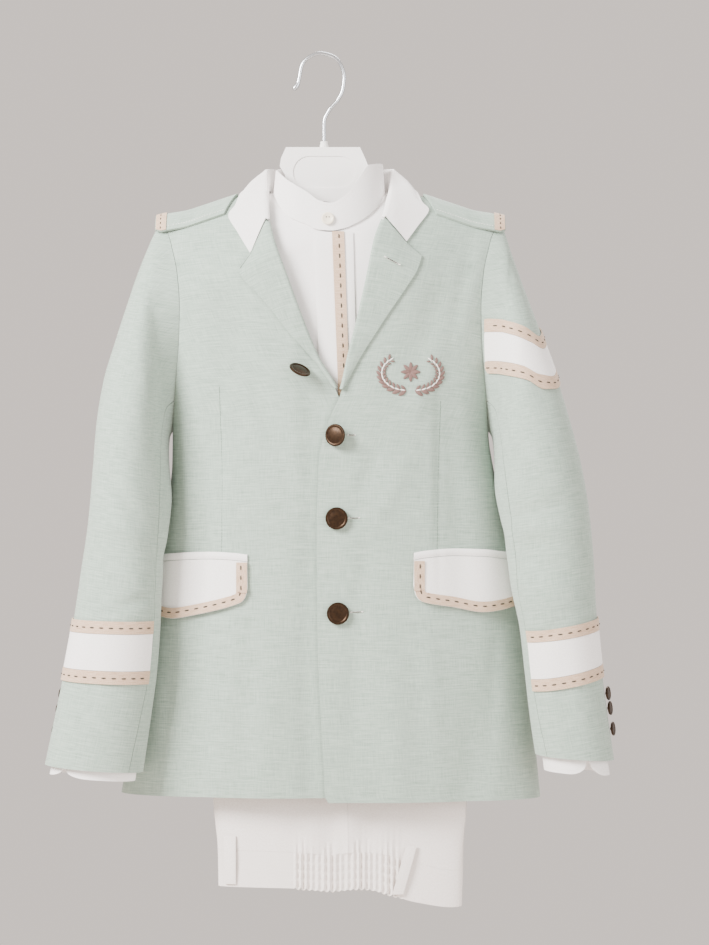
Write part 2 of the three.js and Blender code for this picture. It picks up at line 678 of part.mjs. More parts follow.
/** Grid of a sleeve piece between two lengthwise lines, given as angles by ring. */
function sleeveGrid(piece) {
  const { table, sign, insetAt = () => 0, rings, fromAt, toAt, steps, closed = false, folds = [] } = piece;
  const ringAt = reader(table, "ring");
  const inset = insetAt(0);
  const angleAt = (c, r) => degrees(mix(fromAt(rings[r]), toAt(rings[r]), c / steps));
  const seamOf = (angle) => {
    const here = armholePoint(sign, angle, inset);
    const ahead = armholePoint(sign, angle + 0.05, inset).point;
    const behind = armholePoint(sign, angle - 0.05, inset).point;
    const normal = bodyNormal(here.point.x, here.point.z, here.side, inset, here.onSeam);
    const away = normal.clone().cross(ahead.sub(behind)).normalize();
    if (away.dot(new THREE.Vector3(sign, 0, 0.3)) < 0) away.negate();
    return { normal, away };
  };
  const pointAt = (c, r) => {
    const angle = angleAt(c, r);
    const point = sleevePoint(ringAt, sign, rings[r], angle, insetAt(rings[r]));
    if (r === 0 && rings[0] === 0) {
      const seam = seamOf(angle);
      const side = Math.sin(angle) >= 0 ? FRONT : BACK;
      point.addScaledVector(seam.away, SEAM);
      if (Math.abs(Math.sin(angle)) > 0.01) point.y += (side * SEAM) / 2;
    }
    const bump = foldHeight(folds, (angle * 180) / Math.PI, rings[r]);
    const row = ringAt(rings[r]);
    const middle = new THREE.Vector3(sign * (row.outX + row.inX) / 2, row.midY, (row.outZ + row.inZ) / 2);
    return point.addScaledVector(point.clone().sub(middle).normalize(), bump);
  };
  const facing = () => new THREE.Vector3();
  const normalAt = (c, r) => {
    const angle = angleAt(c, r);
    const ring = rings[r];
    const low = Math.min(ring, LAST_RING - 0.3);
    const across = sleevePoint(ringAt, sign, ring, angle + 0.04, insetAt(ring));
    across.sub(sleevePoint(ringAt, sign, ring, angle - 0.04, insetAt(ring)));
    const along = sleevePoint(ringAt, sign, low + 0.3, angle, insetAt(low + 0.3));
    along.sub(sleevePoint(ringAt, sign, low - 0.3, angle, insetAt(low - 0.3)));
    const own = across.cross(along).normalize().multiplyScalar(sign);
    if (ring > 0) return own;
    return own.lerp(seamOf(angle).normal, ease(0.3, 0.95, Math.cos(angle))).normalize();
  };
  return makeGrid(steps, rings.length - 1, pointAt, facing, { closed, normalAt });
}

// Troughs of the sleeves, placed by angle round the ring and by ring
const SLEEVE_FOLDS = {
  left: [
    { x: 75, z: 8.6, across: 30, along: 0.8, lean: 0, high: -2 },
    { x: 55, z: 4.2, across: 22, along: 1.6, lean: 0, high: -1.8 },
  ],
  right: [
    { x: 120, z: 8.1, across: 34, along: 0.6, lean: 0, high: -2.4 },
    { x: 112, z: 9.4, across: 30, along: 0.5, lean: 0, high: 1.6 },
    { x: 60, z: 4.4, across: 24, along: 1.5, lean: 0, high: -1.8 },
  ],
};

const SIDES = [
  { word: "viewer_left", sign: LEFT, table: SLEEVE_VIEWER_LEFT, folds: SLEEVE_FOLDS.left },
  { word: "viewer_right", sign: RIGHT, table: SLEEVE_VIEWER_RIGHT, folds: SLEEVE_FOLDS.right },
];
const SEAM_ANGLE = 0.35;
const sleeves = {};
for (const { word, sign, table, folds } of SIDES) {
  sleeves[word] = addCloth(`jacket_upper_sleeve_${word}`, "linen", sleeveGrid({
    table,
    sign,
    rings: SLEEVE_RINGS,
    fromAt: (ring) => seamsAt(ring).back + SEAM_ANGLE,
    toAt: (ring) => seamsAt(ring).front - SEAM_ANGLE,
    steps: 8,
    folds,
  }), LINEN);
  addCloth(`jacket_under_sleeve_${word}`, "linen", sleeveGrid({
    table,
    sign,
    rings: SLEEVE_RINGS,
    fromAt: (ring) => seamsAt(ring).front + SEAM_ANGLE,
    toAt: (ring) => 360 + seamsAt(ring).back - SEAM_ANGLE,
    steps: 8,
    folds,
  }), LINEN);
}

// Bands on the sleeves

/** Row of a grid column, counted in parts, where the cloth is at a height. */
function rowAtHeight(grid, column, height) {
  return search(0, grid.rows, -height, (row) => -onGrid(grid, column, row).point.z);
}

for (const { word, bands } of [
  { word: "viewer_left", bands: CUFF_BANDS.left },
  { word: "viewer_right", bands: CUFF_BANDS.right },
]) {
  const sleeve = sleeves[word];
  for (const band of bands) {
    const placeAt = (c, r) => {
      const column = Math.min(Math.max(c, 0.06), sleeve.columns - 0.06);
      const round = (1 - Math.cos((Math.PI * c) / sleeve.columns)) / 2;
      const top = mix(band.topOut, band.topIn, round);
      const low = mix(band.lowOut, band.lowIn, round);
      return { column, row: rowAtHeight(sleeve, column, r === 0 ? top : low) };
    };
    const slot = band.strip === "white" ? "white_cotton" : "ribbon";
    addLaid(`cuff_band_${band.strip}_${word}`, slot, sleeve, sleeve.columns, 1, placeAt);
  }
}

// Chevron on the upper sleeve: heights of its top and bottom edge at each sleeve column
const CHEVRON = [
  { column: 0.1, top: -243, low: -291 },
  { column: 1, top: -249, low: -297.5 },
  { column: 2, top: -254.5, low: -302.5 },
  { column: 3, top: -260, low: -307.5 },
  { column: 4, top: -252, low: -308 },
  { column: 5, top: -246.5, low: -300 },
  { column: 6, top: -242.5, low: -296 },
  { column: 7, top: -242, low: -292.5 },
];
const CHEVRON_STRIPS = [
  { strip: "upper_ribbon", from: 0, to: 0.235, last: 6, endTop: 5.8, endLow: 6 },
  { strip: "white", from: 0.245, to: 0.755, last: 7, endTop: 6.26, endLow: 6.8 },
  { strip: "lower_ribbon", from: 0.765, to: 1, last: 7, endTop: 6.88, endLow: 7.1 },
];
const CHEVRON_START = 0.14;
const chevronAt = reader(CHEVRON, "column");
for (const { strip, from, to, last, endTop, endLow } of CHEVRON_STRIPS) {
  const sleeve = sleeves.viewer_right;
  const rows = strip === "white" ? 3 : 2;
  const placeAt = (c, r) => {
    const atSeam = c === last;
    const down = r / rows;
    const column = atSeam ? mix(endTop, endLow, down) : CHEVRON[c].column;
    const edge = atSeam ? chevronAt(column) : CHEVRON[c];
    const height = mix(edge.top, edge.low, mix(from, to, down));
    const row = atSeam ? CHEVRON_START : rowAtHeight(sleeve, column, height);
    return { column, row: Math.max(CHEVRON_START, row) };
  };
  const slot = strip === "white" ? "white_cotton" : "ribbon";
  addLaid(`chevron_${strip}`, slot, sleeve, last, rows, placeAt, strip === "white" ? 2 : 1.5);
}

// Lapels and white collar: the cloth turns over the edge of the front and lies back on it
const LAPEL = 1.4;
const ROLL = [
  { out: 2.1, back: 1.2 },
  { out: 2.5, back: -1.2 },
  { out: 1.2, back: -3.7 },
];
const FALL = [0.04, 0.2, 0.4, 0.6, 0.8, 1];

/** Point of the inner edge of a front at a height, and the way out from it in the front view. */
function edgePoint(panel, z) {
  const above = panel.points.findIndex((line) => line[0].z >= z);
  const row = Math.min(Math.max(above, 1), panel.rows);
  const low = panel.points[row - 1][0];
  const high = panel.points[row][0];
  const point = low.clone().lerp(high, clamp01((z - low.z) / (high.z - low.z)));
  const inward = panel.points[row][1].x - high.x;
  const away = new THREE.Vector3(high.z - low.z, 0, low.x - high.x).normalize();
  return { point, away: away.multiplyScalar(inward < 0 ? 1 : -1) };
}

/** Point of a turned-over piece: first round the roll, then out along the front. */
function turnedPoint(c, panel, rollZ, out) {
  const roll = edgePoint(panel, rollZ);
  if (c < ROLL.length) {
    const step = ROLL[c];
    const point = roll.point.addScaledVector(roll.away, step.out);
    return point.setY(point.y + step.back);
  }
  const f = FALL[c - ROLL.length];
  const lift = mix(4.4, 2.2, f);
  const place = onPanel(panel, mix(roll.point.x, out.x, f), mix(roll.point.z, out.z, f));
  return place.point.addScaledVector(place.normal, lift);
}

function lapelGrid(table, sign, panel) {
  const columns = ROLL.length + FALL.length - 1;
  const pointAt = (c, r) => turnedPoint(c, panel, table[r].rollZ, { x: table[r].outX, z: table[r].outZ });
  const facing = (point, c) => new THREE.Vector3(c < 2 ? -sign : -sign * 0.3, -1, 0);
  return makeGrid(columns, table.length - 1, pointAt, facing);
}

addCloth("lapel_viewer_left", "linen", lapelGrid(LAPEL_VIEWER_LEFT, LEFT, frontLeft), LAPEL);
addCloth("lapel_viewer_right", "linen", lapelGrid(LAPEL_VIEWER_RIGHT, RIGHT, frontRight), LAPEL);

const collarPoint = (c, r) => {
  const row = COLLAR[r];
  if (row.kind === "front") {
    const panel = row.outX < 0 ? frontLeft : frontRight;
    return turnedPoint(c, panel, row.foldZ, { x: row.outX, z: row.outZ });
  }
  const stand = new THREE.Vector3(...row.stand);
  const fold = new THREE.Vector3(...row.fold);
  const side = row.kind === "back" ? BACK : FRONT;
  const out = new THREE.Vector3(row.outX, depth(row.outX, row.outZ, side), row.outZ);
  if (row.kind === "shoulder") out.set(row.outX, 0, ridge(row.outX) + 3.4);
  else out.addScaledVector(bodyNormal(row.outX, row.outZ, side), row.kind === "upper" ? 4 : 2.6);
  const outward = new THREE.Vector3(out.x - fold.x, out.y - fold.y, 0).normalize();
  if (c === 0) return stand;
  if (c === 1) return stand.lerp(fold, 0.7).addScaledVector(outward, -0.5);
  if (c === 2) return fold.addScaledVector(outward, -0.6);
  const f = FALL[c - ROLL.length];
  const bulge = 2.6 * Math.sin(Math.PI * Math.min(1, f + 0.1));
  return fold.lerp(out, f).addScaledVector(outward, bulge).setZ(mix(fold.z, out.z, f) + (f < 0.1 ? 0.6 : 0));
};
const collarFacing = (point, c, r) => {
  if (COLLAR[r].kind === "front") return new THREE.Vector3(-Math.sign(point.x) * (c < 2 ? 1 : 0.3), -1, 0);
  if (c < 2) return new THREE.Vector3(-point.x, 10 - point.y, 0);
  return new THREE.Vector3(point.x, point.y, 40);
};
const collarGrid = makeGrid(ROLL.length + FALL.length - 1, COLLAR.length - 1, collarPoint, collarFacing);
addCloth("jacket_collar", "white_cotton", collarGrid, 1.3);

// Pockets: welt, flap and its ribbon, each worked out on the front and moved out

/** Grid on a front: heights between two lines, by distance from the centre line. */
function frontPatch({ sign, panel, xs, rows, topAt, lowAt, lift }) {
  const places = [];
  for (let r = 0; r <= rows; r += 1) {
    places.push(xs.map((x) => onPanel(panel, sign * x, mix(topAt(x), lowAt(x), r / rows))));
  }
  const pointAt = (c, r) => {
    const { point, normal } = places[r][c];
    return point.clone().addScaledVector(normal, lift + sideLift(xs[c]));
  };
  const normalAt = (c, r) => places[r][c].normal;
  return makeGrid(xs.length - 1, rows, pointAt, () => new THREE.Vector3(), { normalAt });
}

/** Pocket pieces stand off more where the body turns to the side. */
const sideLift = (x) => 2 * ease(112, 145, x);

const FLAP_LIFT = 2.1;

/** Ribbon down the inner edge of a flap, round its corner and along its lower edge. */
function pocketRibbon(sign, panel, table) {
  const first = table[0];
  const innerX = first.x + POCKET_RIBBON;
  const inner = { x: innerX, z: reader(table, "x")(innerX).bottom + POCKET_RIBBON };
  const middleZ = mix(first.top, inner.z, 0.5);
  const stations = [
    { outX: first.x, outZ: first.top - 0.5, inX: inner.x, inZ: first.top - 0.5 },
    { outX: first.x, outZ: middleZ, inX: inner.x, inZ: middleZ },
    { outX: first.x, outZ: inner.z + 1, inX: inner.x, inZ: inner.z + 1 },
  ];
  table.forEach((row, i) => {
    const inX = i < 4 ? inner.x + 0.5 + i * 0.6 : row.x;
    const inZ = i < 4 ? inner.z + 0.2 - i * 0.3 : row.bottom + POCKET_RIBBON;
    stations.push({ outX: row.x, outZ: row.bottom + 0.3, inX, inZ });
  });
  const pointAt = (c, r) => {
    const row = stations[c];
    const x = mix(row.outX, row.inX, r);
    const place = onPanel(panel, sign * x, mix(row.outZ, row.inZ, r));
    return place.point.addScaledVector(place.normal, FLAP_LIFT + 0.6 + TRIM + sideLift(x));
  };
  const normalAt = (c, r, point) => bodyNormal(point.x, point.z, FRONT);
  return makeGrid(stations.length - 1, 1, pointAt, () => new THREE.Vector3(), { normalAt });
}

for (const { word, sign, table, panel } of [
  { word: "viewer_left", sign: LEFT, table: FLAP_VIEWER_LEFT, panel: frontLeft },
  { word: "viewer_right", sign: RIGHT, table: FLAP_VIEWER_RIGHT, panel: frontRight },
]) {
  const flapAt = reader(table, "x");
  const first = table[0].x;
  const last = table[table.length - 1].x;
  const xs = table.map((row) => row.x);
  const topAt = (x) => flapAt(x).top;
  addCloth(`pocket_flap_${word}`, "white_cotton", frontPatch({
    sign, panel, xs, rows: 3, topAt, lowAt: (x) => flapAt(x).bottom, lift: FLAP_LIFT,
  }), 1.2);
  const weltXs = [0, 0.2, 0.4, 0.6, 0.8, 1].map((t) => mix(first, last, t));
  addCloth(`pocket_welt_${word}`, "white_cotton", frontPatch({
    sign, panel, xs: weltXs, rows: 1, topAt: (x) => topAt(x) + SEAM + WELT_HEIGHT,
    lowAt: (x) => topAt(x) + SEAM, lift: FLAP_LIFT,
  }), 1.2);
  addCloth(`pocket_ribbon_${word}`, "ribbon", pocketRibbon(sign, panel, table), TRIM);
}

// Shoulder boards: straps over the shoulder line, stiff and a little raised at the sleeve
const BOARD = { from: 85, slant: 12, to: 160, drop: 15.5, thick: 2.4, band: 10, columns: 6, rows: 6 };

function boardPoint(sign, x, v, lift) {
  const side = v <= 0 ? FRONT : BACK;
  const narrow = 1 - 0.12 * ease(BOARD.to - 6, BOARD.to, x);
  const drop = BOARD.drop * Math.abs(v * narrow) ** 1.5;
  const z = ridge(x) - drop;
  const y = depth(x, z, side);
  const up = new THREE.Vector3(0, side * Math.abs(v) * 0.62, 1).normalize();
  const rise = lift + 4.2 * ease(126, BOARD.to, x);
  return new THREE.Vector3(sign * x, y, z).addScaledVector(up, rise);
}

function boardGrid(sign, from, to, columns, lift) {
  const rows = BOARD.rows;
  const pointAt = (c, r) => {
    const v = (r / rows) * 2 - 1;
    const start = from + (from === BOARD.from ? BOARD.slant * Math.abs(v) : 0);
    return boardPoint(sign, mix(start, to, c / columns), v, lift);
  };
  const normalAt = (c, r) => {
    const v = (r / rows) * 2 - 1;
    return new THREE.Vector3(0, v * 0.7, 1).normalize();
  };
  return makeGrid(columns, rows, pointAt, () => new THREE.Vector3(), { normalAt });
}

for (const { word, sign } of SIDES) {
  const strap = boardGrid(sign, BOARD.from, BOARD.to, BOARD.columns, 0.8 + BOARD.thick);
  addCloth(`shoulder_board_${word}`, "linen", strap, BOARD.thick);
  const endBand = boardGrid(sign, BOARD.to - BOARD.band, BOARD.to - 0.5, 2, 1.4 + BOARD.thick + TRIM);
  addCloth(`shoulder_board_ribbon_${word}`, "ribbon", endBand, TRIM);
}

// Buttons: turned discs with a shank behind
function turned(profile, segments) {
  return new THREE.LatheGeometry(profile.map(([r, h]) => new THREE.Vector2(r, h)), segments);
}

/** Places a shape whose axis is +Y so that it faces along a direction. */
function addTurned(name, slot, geometry, place, facing) {
  const axis = new THREE.Vector3(0, 1, 0);
  const turn = new THREE.Quaternion().setFromUnitVectors(axis, facing.clone().normalize());
  geometry.applyQuaternion(turn);
  geometry.translate(place.x, place.y, place.z);
  addMesh(name, slot, Array.from(geometry.attributes.position.array), Array.from(geometry.index.array));
}

const buttonProfile = (radius, shank) => [
  [0, 0],
  [1.8, 0],
  [1.8, shank],
  [radius * 0.86, shank],
  [radius, shank + 0.9],
  [radius * 0.97, shank + 2.1],
  [radius * 0.8, shank + 2.3],
  [radius * 0.7, shank + 1.8],
  [0, shank + 2.2],
];

const smallProfile = [[0, 0], [1.4, 0], [1.4, 1.4], [6.3, 1.6], [6.5, 3.4], [0, 3.2]];

const BUTTONS = [
  { name: "front_button_1", x: 7.3, z: -349, turnX: -0.55, radius: 10.1, shank: 4.4 },
  { name: "front_button_2", x: 6, z: -423.7, turnX: -0.04, radius: 10.1, shank: 1.6 },
  { name: "front_button_3", x: 7.1, z: -509.1, turnX: 0.02, radius: 10.1, shank: 1.6 },
];
for (const { name, x, z, turnX, radius, shank } of BUTTONS) {
  const off = name === "front_button_1" ? 1 : 0.6;
  const place = new THREE.Vector3(x, depth(x, z, FRONT) - off, z);
  const disc = turned(buttonProfile(radius, shank), 14);
  addTurned(name, "bronze_button", disc, place, new THREE.Vector3(turnX, -1, 0));
}

// The fourth button hangs on its thread beside the lapel, seen nearly edge on
addTurned(
  "front_button_under_lapel",
  "bronze_button",
  turned(buttonProfile(10.1, 2), 14),
  new THREE.Vector3(-28, depth(-25, -292, FRONT) - 7.4, -293),
  new THREE.Vector3(0.45, -0.55, 0.95)
);

const SLEEVE_BUTTONS = [
  { height: -581.5, angle: 2 },
  { height: -595, angle: 1 },
  { height: -614.5, angle: 0 },
];
for (const { word, sign, table } of SIDES) {
  const ringAt = reader(table, "ring");
  SLEEVE_BUTTONS.forEach(({ height, angle }, i) => {
    const ring = 11 + (height + 556) / -44;
    const turn = degrees(word === "viewer_right" ? angle : angle - 26);
    const place = sleevePoint(ringAt, sign, ring, turn);
    const ahead = word === "viewer_right" ? 0.34 : 0;
    const facing = new THREE.Vector3(sign * Math.cos(turn), -Math.sin(turn) - ahead, 0.1);
    facing.normalize();
    place.addScaledVector(facing, word === "viewer_right" ? 0.9 : 0);
    const geometry = turned(smallProfile, 12);
    addTurned(`sleeve_button_${i + 1}_${word}`, "bronze_button", geometry, place, facing);
  });
}

// Shirt: fronts, back, band collar, placket with ribbon, sleeves and cuffs
const SHIRT = 1.0;
const SHIRT_HEM_Z = -600;
const NECKLINE = [
  { along: 0, x: 0.3, z: -166 },
  { along: 0.35, x: 18, z: -162 },
  { along: 0.7, x: 37, z: -149 },
  { along: 0.9, x: 49, z: -135 },
  { along: 1, x: 53, z: RIDGE_Z - SHIRT_INSET * 0.9 },
];
const necklineAt = reader(NECKLINE, "along");
const shirtBack = (x) => 3.5 * (1 - ease(28, 60, Math.abs(x)));
const SHIRT_SLEEVE = [
  { ring: 0, inset: SHIRT_INSET },
  { ring: 1, inset: 16 },
  { ring: 2, inset: 12 },
  { ring: 3, inset: 8.5 },
  { ring: 4, inset: 6.6 },
  { ring: 5, inset: SHIRT_INSET },
];
const shirtSleeveAt = reader(SHIRT_SLEEVE, "ring");
const shirtFrontY = (x, z) => depth(x, z, FRONT, SHIRT_INSET) + shirtBack(x) - SEAM / 2;

for (const { word, sign } of SIDES) {
  const innerAt = (rise, z) => {
    const bottom = underarm(SHIRT_INSET);
    if (rise <= 0.6) return { x: sign * 0.3, z: rise > 0 ? mix(bottom, -166, rise / 0.6) : z };
    const row = necklineAt((rise - 0.6) / 0.4);
    return { x: sign * row.x, z: row.z };
  };
  addCloth(`shirt_front_${word}`, "shirt", bodyGrid({
    sign, side: FRONT, inset: SHIRT_INSET, hemZ: SHIRT_HEM_Z, innerAt, across: 8, hemRows: 3,
    push: shirtBack,
  }), SHIRT);
  addCloth(`shirt_sleeve_${word}`, "shirt", sleeveGrid({
    table: sign === LEFT ? SLEEVE_VIEWER_LEFT : SLEEVE_VIEWER_RIGHT,
    sign,
    insetAt: (ring) => shirtSleeveAt(ring).inset,
    rings: [0, 1, 2, 3, 4, 5.5, 7, 8.5, 10, SHIRT_LAST_RING],
    fromAt: () => 0,
    toAt: () => 360,
    steps: 16,
    closed: true,
  }), SHIRT);
}
const shirtBackGrid = backGrid({
  inset: SHIRT_INSET, hemZ: SHIRT_HEM_Z, neckDrop: 8, across: 6, hemRows: 3,
});
addCloth("shirt_back", "shirt", shirtBackGrid, SHIRT);

const shirtCollarAt = reader(SHIRT_COLLAR, "turn");
const LAP_START = -18;
const LAP_END = 369;
const shirtCollarPoint = (c, r) => {
  const whole = mix(LAP_START, LAP_END, c / 28);
  const row = shirtCollarAt(whole > 180 ? whole - 360 : whole);
  const turn = degrees(whole);
  const under = 2.2 * ease(318, 344, whole);
  const ahead = Math.cos(turn) > 0;
  const top = new THREE.Vector3(
    -1 + (49 - under) * Math.sin(turn),
    -4 - ((ahead ? 32 : 22) - under) * Math.cos(turn),
    row.top
  );
  const baseX = -1 + (51 - under) * Math.sin(turn);
  const ringY = -4 - ((ahead ? 34 : 22) - under) * Math.cos(turn);
  const restY = shirtFrontY(baseX, row.base) - 1.8 + under;
  const base = new THREE.Vector3(baseX, ahead ? Math.min(ringY, restY) : ringY, row.base);
  return top.lerp(base, r / 2);
};
const awayFromNeck = (point) => new THREE.Vector3(point.x + 1, point.y + 4, 0);
addCloth("shirt_collar", "shirt", makeGrid(28, 2, shirtCollarPoint, awayFromNeck), 1.1);

/** Strip down the shirt front between two leaning edges. */
function shirtStrip(leftEdge, rightEdge, columns, topAt, lift, name, slot, thick) {
  const rows = 12;
  const pointAt = (c, r) => {
    const z0 = mix(-166, SHIRT_HEM_Z + 2, r / rows);
    const lean = (z0 + 166) / -137;
    const left = leftEdge.top + leftEdge.lean * Math.min(lean, 1);
    const right = rightEdge.top + rightEdge.lean * Math.min(lean, 1);
    const x = mix(left, right, c / columns);
    const z = Math.min(z0, topAt(x));
    return new THREE.Vector3(x, shirtFrontY(x, z), z).addScaledVector(bodyNormal(x, z, FRONT), lift);
  };
  const normalAt = (c, r, point) => bodyNormal(point.x, point.z, FRONT);
  addCloth(name, slot, makeGrid(columns, rows, pointAt, () => new THREE.Vector3(), { normalAt }), thick);
}
const placketTop = (x) => (x < 5 ? -166 : -166 + 0.22 * (x - 5));
const placketEdges = [{ top: -15.4, lean: 6.4 }, { top: 20.7, lean: 3.4 }];
shirtStrip(...placketEdges, 3, placketTop, 2, "shirt_placket", "shirt", SHIRT);
const ribbonEdges = [{ top: 1.7, lean: 5.4 }, { top: 12.6, lean: 4.6 }];
shirtStrip(...ribbonEdges, 1, placketTop, 3.4, "shirt_placket_ribbon", "ribbon", 0.8);

const holedButton = new THREE.Shape();
holedButton.absarc(0, 0, 5.7, 0, Math.PI * 2, false);
for (const [holeX, holeY] of [[1.25, 1.25], [-1.25, 1.25], [-1.25, -1.25], [1.25, -1.25]]) {
  const hole = new THREE.Path();
  hole.absarc(holeX, holeY, 0.65, 0, Math.PI * 2, true);
  holedButton.holes.push(hole);
}
const holed = new THREE.ExtrudeGeometry(holedButton, { depth: 1.8, bevelEnabled: false, curveSegments: 6 });
holed.rotateX(Math.PI / 2);
holed.rotateX(-0.14);
holed.translate(-2.1, -38, -153.3);
addMesh(
  "shirt_collar_button",
  "shirt_button",
  Array.from(holed.attributes.position.array),
  Array.from({ length: holed.attributes.position.count }, (_, i) => i)
);

// Shirt cuffs: open strips round the wrist with rounded corners at the opening
const CUFFS = [
  { word: "viewer_left", sign: LEFT, table: SLEEVE_VIEWER_LEFT, opening: 50, below: 8.5 },
  { word: "viewer_right", sign: RIGHT, table: SLEEVE_VIEWER_RIGHT, opening: 71, below: 14 },
];
const CUFF_TOP_RING = 12.115;
for (const { word, sign, table, opening, below } of CUFFS) {
  const ringAt = reader(table, "ring");
  const columns = 20;
  const rows = 3;
  const pointAt = (c, r) => {
    const angle = degrees(mix(opening + 2.5, opening + 357.5, c / columns));
    const end = sleevePoint(ringAt, sign, LAST_RING, angle, SHIRT_INSET);
    const start = sleevePoint(ringAt, sign, CUFF_TOP_RING, angle, SHIRT_INSET);
    const down = end.clone().sub(start).normalize();
    const fromEnd = Math.min(c, columns - c) / 2;
    const round = fromEnd < 1 ? 1 - Math.sqrt(1 - (1 - fromEnd) ** 2) : 0;
    const tip = end.clone().addScaledVector(down, below - round * (below - 1));
    return start.lerp(tip, r / rows);
  };
  const middleRow = ringAt(LAST_RING);
  const middle = new THREE.Vector3((sign * (middleRow.outX + middleRow.inX)) / 2, middleRow.midY, 0);
  const facing = (point) => new THREE.Vector3(point.x - middle.x, point.y - middle.y, 0);
  addCloth(`shirt_cuff_${word}`, "shirt", makeGrid(columns, rows, pointAt, facing), 1.2);
}

// Trousers: waistband with gathers, hips, and legs folded over the bar
const WAIST = [
  { x: -103, seam: -726.2, edge: -759.6 },
  { x: -35, seam: -727.8, edge: -760.5 },
  { x: 0, seam: -730, edge: -763 },
  { x: 29, seam: -727.5, edge: -761 },
  { x: 56, seam: -731.5, edge: -767 },
  { x: 77, seam: -737.5, edge: -773 },
  { x: 114, seam: -745, edge: -778.5 },
  { x: 121, seam: -745, edge: -778 },
];
const HIPS = [
  { z: -780, middle: 9, half: 111, midY: -8, deep: 14 },
  { z: -727, middle: 9, half: 112, midY: -8, deep: 13 },
  { z: -680, middle: 8.5, half: 115.5, midY: -8.5, deep: 11 },
  { z: -560, middle: 6.3, half: 113, midY: -9, deep: 7 },
];
const GATHERS = { from: -33, to: 66, count: 19, high: 0.95 };
const TROUSER = 1.2;
const waistAt = reader(WAIST, "x");
const hipsAt = reader(HIPS, "z");

/** Point of the flattened trouser tube: angle 0 at the viewer's right, 90 on the viewer's side. */
function hipPoint(angle, z, swell = 0) {
  const row = hipsAt(z);
  const cosine = Math.cos(angle);
  const sine = Math.sin(angle);
  const x = row.middle + (row.half + swell) * Math.sign(cosine) * Math.abs(cosine) ** 0.8;
  const far = sine < 0 ? 10 * -sine * Math.max(0, cosine) : 0;
  const y = row.midY - (row.deep + swell) * Math.sign(sine) * Math.abs(sine) ** 0.8;
  return new THREE.Vector3(x + far, y, z);
}
const hipNormal = (angle) => new THREE.Vector3(0.12 * Math.cos(angle), -Math.sin(angle), 0).normalize();

// Waistband: one ring, with close steps where the elastic draws it in
const BAND_ROWS = 2;
const bandAngles = [];
const gatherSteps = GATHERS.count * 3;
const angleAtX = (x) => Math.acos(Math.sign(x - 9) * Math.abs((x - 9) / 112) ** 1.25);
bandAngles.push(degrees(3), degrees(14));
for (const x of [112, 96, 80]) bandAngles.push(angleAtX(x));
for (let i = 0; i <= gatherSteps; i += 1) {
  bandAngles.push(angleAtX(mix(GATHERS.to, GATHERS.from, i / gatherSteps)));
}
for (const x of [-46, -64, -82, -94, -100]) bandAngles.push(angleAtX(x));
const farAngles = [180, 196, 225, 270, 315, 344, 357].map(degrees);
bandAngles.push(...farAngles, bandAngles[0] + Math.PI * 2);

const bandPoint = (c, r) => {
  const angle = bandAngles[c];
  const near = Math.sin(angle) > 0;
  const flat = hipPoint(angle, -745);
  const line = waistAt(near ? flat.x : -103);
  const z = mix(line.seam, line.edge, r / BAND_ROWS);
  const point = hipPoint(angle, z);
  const inside = near && point.x > GATHERS.from && point.x < GATHERS.to;
  const part = (point.x - GATHERS.from) / (GATHERS.to - GATHERS.from);
  const wave = Math.sin(part * Math.PI * 2 * GATHERS.count);
  if (inside) point.y -= GATHERS.high * wave;
  if (inside && r === BAND_ROWS) point.z += 0.9 * wave;
  return point;
};
const bandNormal = (c) => hipNormal(bandAngles[c]);
const bandOptions = { closed: true, normalAt: bandNormal };
const noNormal = () => new THREE.Vector3();
const bandGrid = makeGrid(bandAngles.length - 1, BAND_ROWS, bandPoint, noNormal, bandOptions);
addCloth("trousers_waistband", "trouser", bandGrid, TROUSER);

// Hips: back left, back right and the front, up to the fork of the legs
const FORK_Z = -560;
const HIP_PANELS = [
  { name: "trousers_back_viewer_right", from: 3, to: 88, steps: 8 },
  { name: "trousers_back_viewer_left", from: 88.4, to: 177, steps: 8 },
  { name: "trousers_front", from: 183, to: 357, steps: 12 },
];
for (const { name, from, to, steps } of HIP_PANELS) {
  const pointAt = (c, r) => {
    const angle = degrees(mix(from, to, c / steps));
    const flat = hipPoint(angle, -745);
    const near = Math.sin(angle) > 0;
    const low = waistAt(near ? flat.x : -103).seam + 1.3;
    const point = hipPoint(angle, mix(low, FORK_Z, r / 6));
    const fade = 1 - r / 6;
    const pleat = Math.cos((point.x - 16) / 5.4) * Math.exp(-(((point.x - 16) / 46) ** 2));
    if (near) point.y -= 1.6 * fade * pleat;
    return point;
  };
  const normalAt = (c) => hipNormal(degrees(mix(from, to, c / steps)));
  const grid = makeGrid(steps, 6, pointAt, () => new THREE.Vector3(), { normalAt });
  addCloth(name, "trouser", grid, TROUSER);
}

